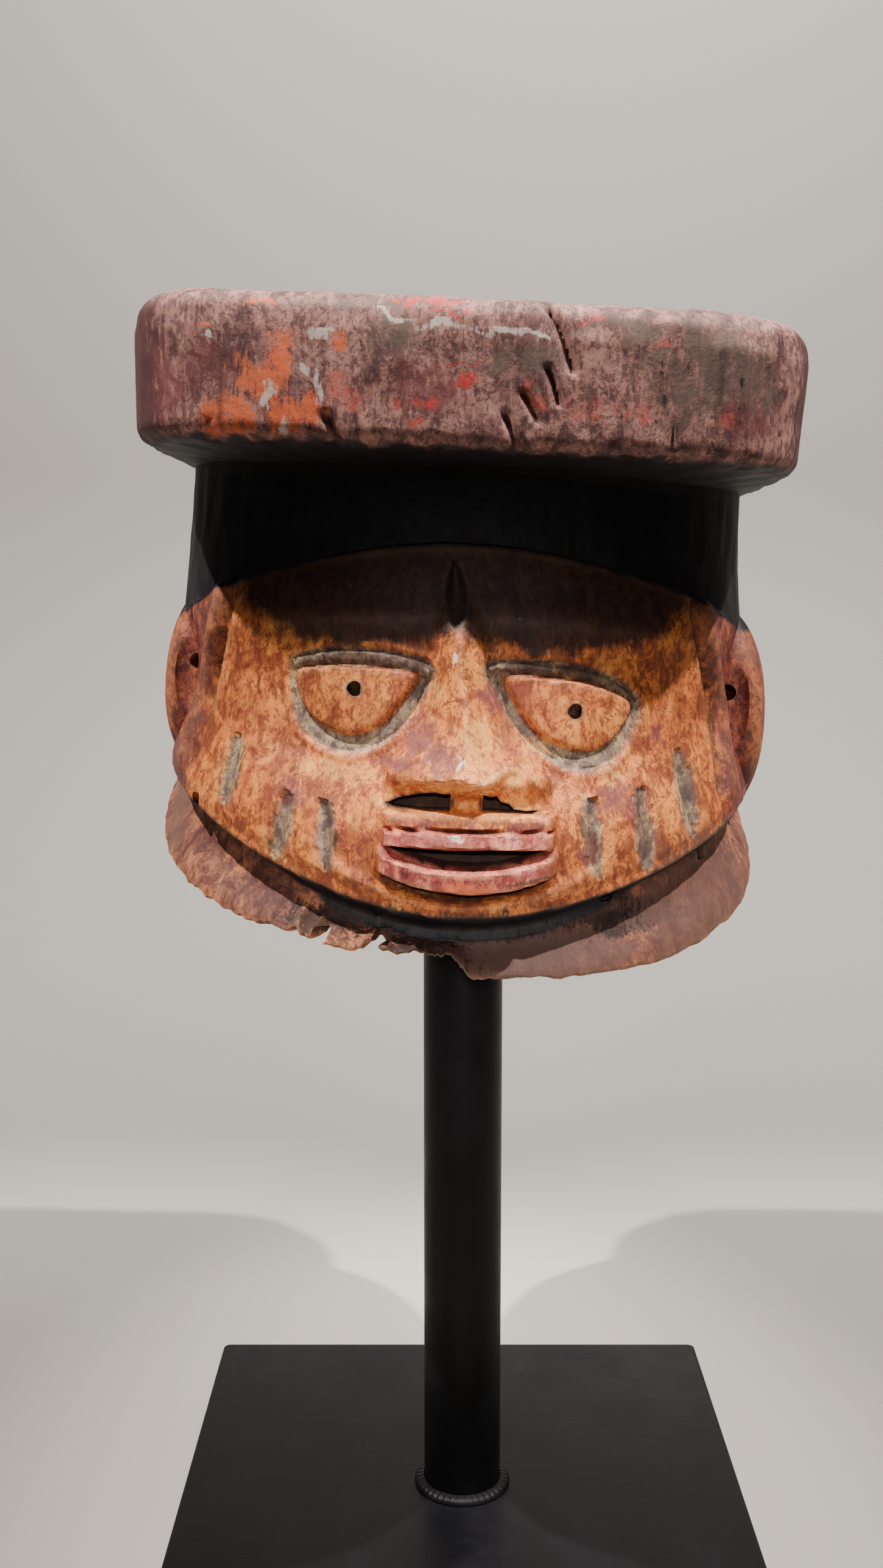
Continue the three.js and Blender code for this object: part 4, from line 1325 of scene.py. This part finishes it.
class Groups:
    """Node groups that several coats share."""

    def __init__(self) -> None:
        self.mottle = self.make_mottle()
        self.grain = self.make_grain()

    @staticmethod
    def new_group(name: str, inputs: Sequence[tuple[str, str]], outputs: Sequence[tuple[str, str]]):
        """An empty group with its sockets."""
        group = bpy.data.node_groups.new(name, "ShaderNodeTree")
        for sockets, way in ((inputs, "INPUT"), (outputs, "OUTPUT")):
            for label, kind in sockets:
                group.interface.new_socket(label, in_out=way, socket_type=kind)
        return group

    def make_mottle(self) -> bpy.types.NodeTree:
        """Three colours in soft blotches and fine speckle."""
        group = self.new_group(
            "Mottle",
            [("Vector", "NodeSocketVector"), ("Main", "NodeSocketColor"), ("Deep", "NodeSocketColor"),
             ("Light", "NodeSocketColor")],
            [("Color", "NodeSocketColor")])
        graph = Graph(group)
        given = graph.node("NodeGroupInput")
        vector = graph.stretched(given.outputs["Vector"], (1, 1, 0.7))
        colour, deep, light = (given.outputs[name] for name in ("Main", "Deep", "Light"))
        blotch = graph.noise(vector, 48, 5, 0.66, 0.8)
        patch = graph.noise(vector, 130, 5, 0.7, 0.8)
        speckle = graph.noise(vector, 460, 3, 0.7, 0.4)
        vein = graph.noise(vector, 95, 4, 0.62, 1.2)
        for spots, low, high, share, other in (
                (blotch, 0.48, 0.36, 0.6, light), (patch, 0.46, 0.36, 0.7, light),
                (speckle, 0.46, 0.36, 0.4, light), (blotch, 0.5, 0.62, 0.55, deep),
                (patch, 0.51, 0.58, 0.7, deep), (speckle, 0.52, 0.58, 0.6, deep)):
            colour = graph.mix(graph.ramp(spots, low, high, 0, share), colour, other)
        line = graph.maths("ABSOLUTE", graph.maths("SUBTRACT", vein, 0.5))
        colour = graph.mix(graph.ramp(line, 0.014, 0.004, 0, 0.65), colour, deep)
        graph.link(colour, graph.node("NodeGroupOutput").inputs["Color"])
        return group

    def make_grain(self) -> bpy.types.NodeTree:
        """Upright fibres of the wood, as a value from 0 to 1."""
        group = self.new_group("Grain", [("Vector", "NodeSocketVector")], [("Value", "NodeSocketFloat")])
        graph = Graph(group)
        given = graph.node("NodeGroupInput").outputs["Vector"]
        fine = graph.noise(graph.stretched(given, (1, 1, 0.035)), 900, 2, 0.6)
        broad = graph.noise(graph.stretched(given, (1, 1, 0.06)), 160, 3, 0.6, 0.4)
        value = graph.blend((fine, 0.45), (broad, 0.55))
        graph.link(value, graph.node("NodeGroupOutput").inputs["Value"])
        return group


class CarvedWood:
    """The mask's material: coats of old paint over wood."""

    def __init__(self, groups: Groups) -> None:
        self.groups = groups
        self.material, self.graph = new_material("carved_wood")
        self.vector = self.graph.node("ShaderNodeTexCoord").outputs["Object"]
        grain_node = self.graph.node("ShaderNodeGroup", "grain")
        grain_node.node_tree = groups.grain
        self.graph.link(self.vector, grain_node.inputs["Vector"])
        self.grain = grain_node.outputs["Value"]
        self.breakup = self.graph.noise(self.vector, 240, 4, 0.7)

    def colours(self, coat: Coat):
        """The coat's mottled colour, with the wood's grain in it."""
        graph = self.graph
        made = graph.node("ShaderNodeGroup", coat.zone or "face")
        made.node_tree = self.groups.mottle
        graph.link(self.vector, made.inputs["Vector"])
        for name, colour in (("Main", coat.main), ("Deep", coat.deep), ("Light", coat.light)):
            made.inputs[name].default_value = (*colour, 1.0)
        dark_fibre = graph.ramp(self.grain, 0.52, 0.66, 0, coat.grain)
        mottled = graph.mix(dark_fibre, made.outputs["Color"], coat.deep)
        pale_fibre = graph.ramp(self.grain, 0.46, 0.34, 0, coat.grain * 0.5)
        return graph.mix(pale_fibre, mottled, coat.light)

    def stained(self, colour, stains: Sequence[Stain]):
        """The colour with ragged patches of other paints over it."""
        graph = self.graph
        for stain in stains:
            upright = graph.stretched(self.vector, (1, 1, 0.6))
            broad = graph.noise(upright, 150 + stain.seed * 7, 6, 0.85, 0.4)
            upright = graph.stretched(self.vector, (1, 1, 0.15))
            streak = graph.noise(upright, 700 + stain.seed * 9, 3, 0.75)
            ragged = graph.blend((broad, 0.55), (streak, 0.45))
            ragged = graph.ramp(ragged, 0, 1, 0.5 - 0.5 * stain.ragged, 0.5 + 0.5 * stain.ragged)
            near = graph.maths("MULTIPLY", graph.attribute(stain.name), stain.density)
            cover = graph.ramp(graph.maths("ADD", near, ragged), 0.68, 0.86, 0, stain.strength)
            colour = graph.mix(cover, colour, stain.paint)
        return colour

    def coated(self):
        """The colour and the roughness of all the coats, laid over each other."""
        graph = self.graph
        worn = graph.maths("MULTIPLY", graph.attribute("wear"), self.breakup)
        colour, rough = None, None
        for coat in COATS:
            mottled = self.colours(coat)
            if coat.zone == "slab":
                mottled = self.stained(mottled, SLAB_STAINS)
            if colour is None:
                colour, rough = mottled, coat.rough
                continue
            if coat.zone == "dark":
                # The face's stains lay painted shade on the brow, under the chin and on the collar, and
                # painted highlights
                colour = self.stained(colour, FACE_STAINS)
            gone = graph.maths("MULTIPLY", worn, coat.wear * 2.6, clamp=True)
            cover = graph.maths("SUBTRACT", graph.attribute(coat.zone), gone, clamp=True)
            colour = graph.mix(cover, colour, mottled)
            rough = graph.ramp(cover, 0, 1, rough, coat.rough)
        bright = graph.maths("SUBTRACT", 1.0, graph.attribute("dark"), clamp=True)
        pale = graph.maths("MULTIPLY", worn, graph.maths("MULTIPLY", bright, 0.3))
        return graph.mix(pale, colour, srgb(214, 170, 130)), rough

    def build(self) -> bpy.types.Material:
        """Darkens hollows and carved lines, partly with painted shade, and joins the coats to the shader."""
        graph = self.graph
        colour, rough = self.coated()
        # Darkens hollows and carved lines, with the painted shade under the lower lip and by the ears
        uneven = graph.maths("MULTIPLY", graph.attribute("dirt_and_painted_shade"), graph.ramp(self.breakup, 0.25, 0.6, 0.5, 1))
        colour = graph.mix(graph.ramp(uneven, 0.1, 0.9, 0, 0.8), colour, srgb(48, 34, 30))
        height = graph.blend((self.grain, 0.6), (self.breakup, 0.5))
        graph.shade({"Specular IOR Level": 0.35, "Base Color": colour, "Roughness": rough,
                     "Normal": graph.bump(height, 0.55, 0.0009)})
        return self.material


def black_steel() -> bpy.types.Material:
    """Satin black paint on steel, with a little dust."""
    material, graph = new_material("black_steel")
    vector = graph.node("ShaderNodeTexCoord").outputs["Object"]
    cloud = graph.noise(vector, 30, 4, 0.6)
    dust = graph.noise(vector, 1500, 2, 0.6)
    colour = graph.mix(graph.ramp(cloud, 0.4, 0.7), srgb(12, 12, 15), srgb(20, 20, 24))
    colour = graph.mix(graph.ramp(dust, 0.64, 0.8, 0, 0.1), colour, srgb(110, 106, 100))
    height = graph.noise(vector, 700, 2, 0.5)
    graph.shade({"Specular IOR Level": 0.15, "Base Color": colour,
                 "Roughness": graph.ramp(cloud, 0.3, 0.7, 0.36, 0.5),
                 "Normal": graph.bump(height, 0.25, 0.0002)})
    return material


@dataclass(frozen=True)
class StandSizes:
    """Sizes of the stand in millimetres."""

    post_top: float
    plate_side: float = 220.0
    plate_thickness: float = 8.0
    plate_corner: float = 3.0
    plate_edge: float = 0.8
    post_radius: float = 15.0
    dome: float = 2.5
    weld_width: float = 3.6
    weld_height: float = 2.6
    weld_ripple: float = 0.05
    weld_ripples: int = 44

    @property
    def foot(self) -> float:
        """The level at which the post and the weld start, just over the plate."""
        return self.plate_thickness + CONTACT_GAP


class Stand:
    """The steel post, its plate and the weld between them."""

    def __init__(self, sizes: StandSizes, material: bpy.types.Material) -> None:
        self.sizes = sizes
        self.material = material

    def piece(self, name: str, bm: bmesh.types.BMesh, node: str, sharp: float = 40) -> bpy.types.Object:
        """Turns the mesh into a piece of the stand."""
        bmesh.ops.recalc_face_normals(bm, faces=bm.faces)
        bmesh.ops.scale(bm, vec=(MM, MM, MM), verts=bm.verts)
        mesh = bpy.data.meshes.new(name)
        bm.to_mesh(mesh)
        bm.free()
        mesh.materials.append(self.material)
        mesh.shade_smooth()
        mesh.set_sharp_from_angle(angle=math.radians(sharp))
        shown = bpy.data.objects.new(name, mesh)
        bpy.context.scene.collection.objects.link(shown)
        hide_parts(node)
        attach(shown, "root")
        return shown

    @staticmethod
    def spun(profile: Sequence[Point], steps: int) -> bmesh.types.BMesh:
        """A profile of radius and height, turned all the way round."""
        bm = bmesh.new()
        verts = [bm.verts.new((radius, 0, height)) for radius, height in profile]
        edges = [bm.edges.new(pair) for pair in zip(verts, verts[1:])]
        bmesh.ops.spin(bm, geom=verts + edges, cent=(0, 0, 0), axis=(0, 0, 1), angle=2 * math.pi,
                       steps=steps, use_merge=True)
        bmesh.ops.remove_doubles(bm, verts=bm.verts, dist=0.0005)
        return bm

    def post(self) -> bpy.types.Object:
        """The post, with a low dome on its top."""
        s = self.sizes
        ball = (s.post_radius ** 2 + s.dome ** 2) / (2 * s.dome)
        profile = [(0, s.foot), (s.post_radius, s.foot), (s.post_radius, s.post_top - s.dome)]
        for share in np.linspace(1, 0, 10)[1:]:
            radius = s.post_radius * share
            profile.append((radius, s.post_top - ball + math.sqrt(ball ** 2 - radius ** 2)))
        return self.piece("steel_post", self.spun(profile, 128), "post")

    def plate(self) -> bpy.types.Object:
        """The square plate with eased edges."""
        s = self.sizes
        bm = bmesh.new()
        bmesh.ops.create_cube(bm, size=1)
        bmesh.ops.scale(bm, vec=(s.plate_side, s.plate_side, s.plate_thickness), verts=bm.verts)
        bmesh.ops.translate(bm, vec=(0, 0, s.plate_thickness / 2), verts=bm.verts)
        upright = [e for e in bm.edges if abs(e.verts[0].co.z - e.verts[1].co.z) > 1]
        bmesh.ops.bevel(bm, geom=upright, offset=s.plate_corner, segments=8, profile=0.5, affect="EDGES",
                        material=-1)
        rims = [e for e in bm.edges if abs(e.verts[0].co.z - e.verts[1].co.z) < 0.01
                and len(e.link_faces) == 2 and abs(e.link_faces[0].normal.z - e.link_faces[1].normal.z) > 0.5]
        bmesh.ops.bevel(bm, geom=rims, offset=s.plate_edge, segments=3, profile=0.5, affect="EDGES",
                        material=-1)
        return self.piece("steel_plate", bm, "base_plate")

    def weld(self) -> bpy.types.Object:
        """A rippled bead of weld round the post's foot."""
        s = self.sizes
        inner = s.post_radius + CONTACT_GAP
        arc = [(inner + s.weld_width * math.cos(t), s.foot + s.weld_height * math.sin(t))
               for t in np.linspace(0, math.pi / 2, 8)]
        bm = self.spun([(inner, s.foot), *arc, (inner, s.foot)], 240)
        for vert in bm.verts:
            radius = math.hypot(vert.co.x, vert.co.y)
            if radius > inner + 0.2:
                turn = math.atan2(vert.co.y, vert.co.x)
                ripple = 1 + s.weld_ripple * (math.sin(turn * s.weld_ripples) - 1)
                grown = inner + (radius - inner) * ripple
                vert.co.x *= grown / radius
                vert.co.y *= grown / radius
                vert.co.z = s.foot + (vert.co.z - s.foot) * ripple
        return self.piece("weld", bm, "weld_bead", 60)

    def build(self) -> None:
        """All three pieces."""
        for made in (self.post(), self.plate(), self.weld()):
            log.info("%s: %d faces", made.name, len(made.data.polygons))


@dataclass(frozen=True)
class Lamp:
    """A lamp that points at its target. Places are in metres and powers in watts."""

    name: str
    kind: str
    place: Sequence[float]
    target: Sequence[float]
    power: float
    colour: Colour
    settings: dict


WARM = (1.0, 0.93, 0.86)
MASK_MIDDLE = (0, -0.09, 0.33)
HIGH_BEAM = {"spot_size": math.radians(19), "spot_blend": 0.9, "shadow_soft_size": 0.02}
LOW_BEAM = {"spot_size": math.radians(8), "spot_blend": 1.0, "shadow_soft_size": 0.04}
LAMPS = (
    Lamp("key_left", "SPOT", (-0.893, -0.545, 2.175), MASK_MIDDLE, 350, WARM, HIGH_BEAM),
    Lamp("key_right", "SPOT", (0.88, -0.55, 2.175), MASK_MIDDLE, 335, WARM, HIGH_BEAM),
    Lamp("low_front", "SPOT", (-0.05, -1.75, 0.72), (0.005, -0.12, 0.268), 76, (1.0, 0.94, 0.88), LOW_BEAM),
    Lamp("fill", "AREA", (-0.4, -1.9, 0.9), (0, 0, 0.3), 1.2, (0.92, 0.95, 1.0), {"size": 1.4}),
    Lamp("wall", "AREA", (0.2, 0.35, 2.3), (0.1, 1.3, 0.7), 36, (1.0, 0.97, 0.93),
         {"size": 1.2, "spread": math.radians(120)}),
)


class Studio:
    """The camera, the lamps, and a plain floor and wall. Sizes are in metres."""

    floor_front = -3.0
    floor_drop = 0.0005
    bend_start = 0.9
    bend_radius = 0.5
    wall_top = 4.0
    half_width = 4.0
    camera_place = (-0.0082, -0.570, 0.362)
    camera_pitch = 7.44
    camera_lens = 35.2

    def __init__(self) -> None:
        self.collection = bpy.context.scene.collection

    def room(self) -> None:
        """A floor that curves up into a wall."""
        profile = [(self.floor_front, -self.floor_drop), (self.bend_start, -self.floor_drop)]
        profile += [(self.bend_start + self.bend_radius * math.sin(t),
                     self.bend_radius * (1 - math.cos(t)) - self.floor_drop)
                    for t in np.linspace(0, math.pi / 2, 16)[1:]]
        profile.append((self.bend_start + self.bend_radius, self.wall_top))
        bm = bmesh.new()
        left, right = ([bm.verts.new((x, y, z)) for y, z in profile]
                       for x in (-self.half_width, self.half_width))
        for k in range(len(profile) - 1):
            bm.faces.new((left[k], right[k], right[k + 1], left[k + 1]))
        mesh = bpy.data.meshes.new("room")
        bm.to_mesh(mesh)
        bm.free()
        mesh.shade_smooth()
        paper, graph = new_material("room_paper")
        graph.shade({"Base Color": (*srgb(205, 199, 192), 1), "Roughness": 0.8})
        mesh.materials.append(paper)
        room = bpy.data.objects.new("room", mesh)
        self.collection.objects.link(room)

    def add_lamp(self, lamp: Lamp) -> None:
        """Hangs a lamp in its place."""
        data = bpy.data.lights.new(lamp.name, lamp.kind)
        data.energy = lamp.power
        data.color = lamp.colour
        for key, value in lamp.settings.items():
            setattr(data, key, value)
        shown = bpy.data.objects.new(lamp.name, data)
        shown.location = lamp.place
        away = Vector(lamp.target) - Vector(lamp.place)
        shown.rotation_euler = away.to_track_quat("-Z", "Y").to_euler()
        self.collection.objects.link(shown)

    def add_world(self) -> None:
        """A little light from all round."""
        world = bpy.data.worlds.new("room_light")
        world.use_nodes = True
        background = world.node_tree.nodes["Background"]
        background.inputs["Color"].default_value = (0.9, 0.93, 1.0, 1)
        background.inputs["Strength"].default_value = 0.035
        bpy.context.scene.world = world

    def add_camera(self) -> None:
        """The camera in front of the mask, tipped down a little."""
        data = bpy.data.cameras.new("camera")
        data.sensor_width = 36
        data.lens = self.camera_lens
        camera = bpy.data.objects.new("camera", data)
        camera.location = self.camera_place
        camera.rotation_euler = (math.radians(90 - self.camera_pitch), 0, 0)
        self.collection.objects.link(camera)
        bpy.context.scene.camera = camera

    def build(self) -> None:
        """Sets everything up."""
        self.room()
        for lamp in LAMPS:
            self.add_lamp(lamp)
        self.add_world()
        self.add_camera()


def write_sizes() -> None:
    """Brings the placement of every piece up to date."""
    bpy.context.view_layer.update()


def main() -> None:
    """Builds the mask, its stand and the studio."""
    logging.basicConfig(level=logging.INFO, format="%(message)s")
    mask = MaskSizes()
    HelmetMask(mask).build(CarvedWood(Groups()).build())
    Stand(StandSizes(post_top=mask.level + mask.hollow_top - CONTACT_GAP), black_steel()).build()
    Studio().build()
    write_sizes()


if __name__ == "__main__":
    main()
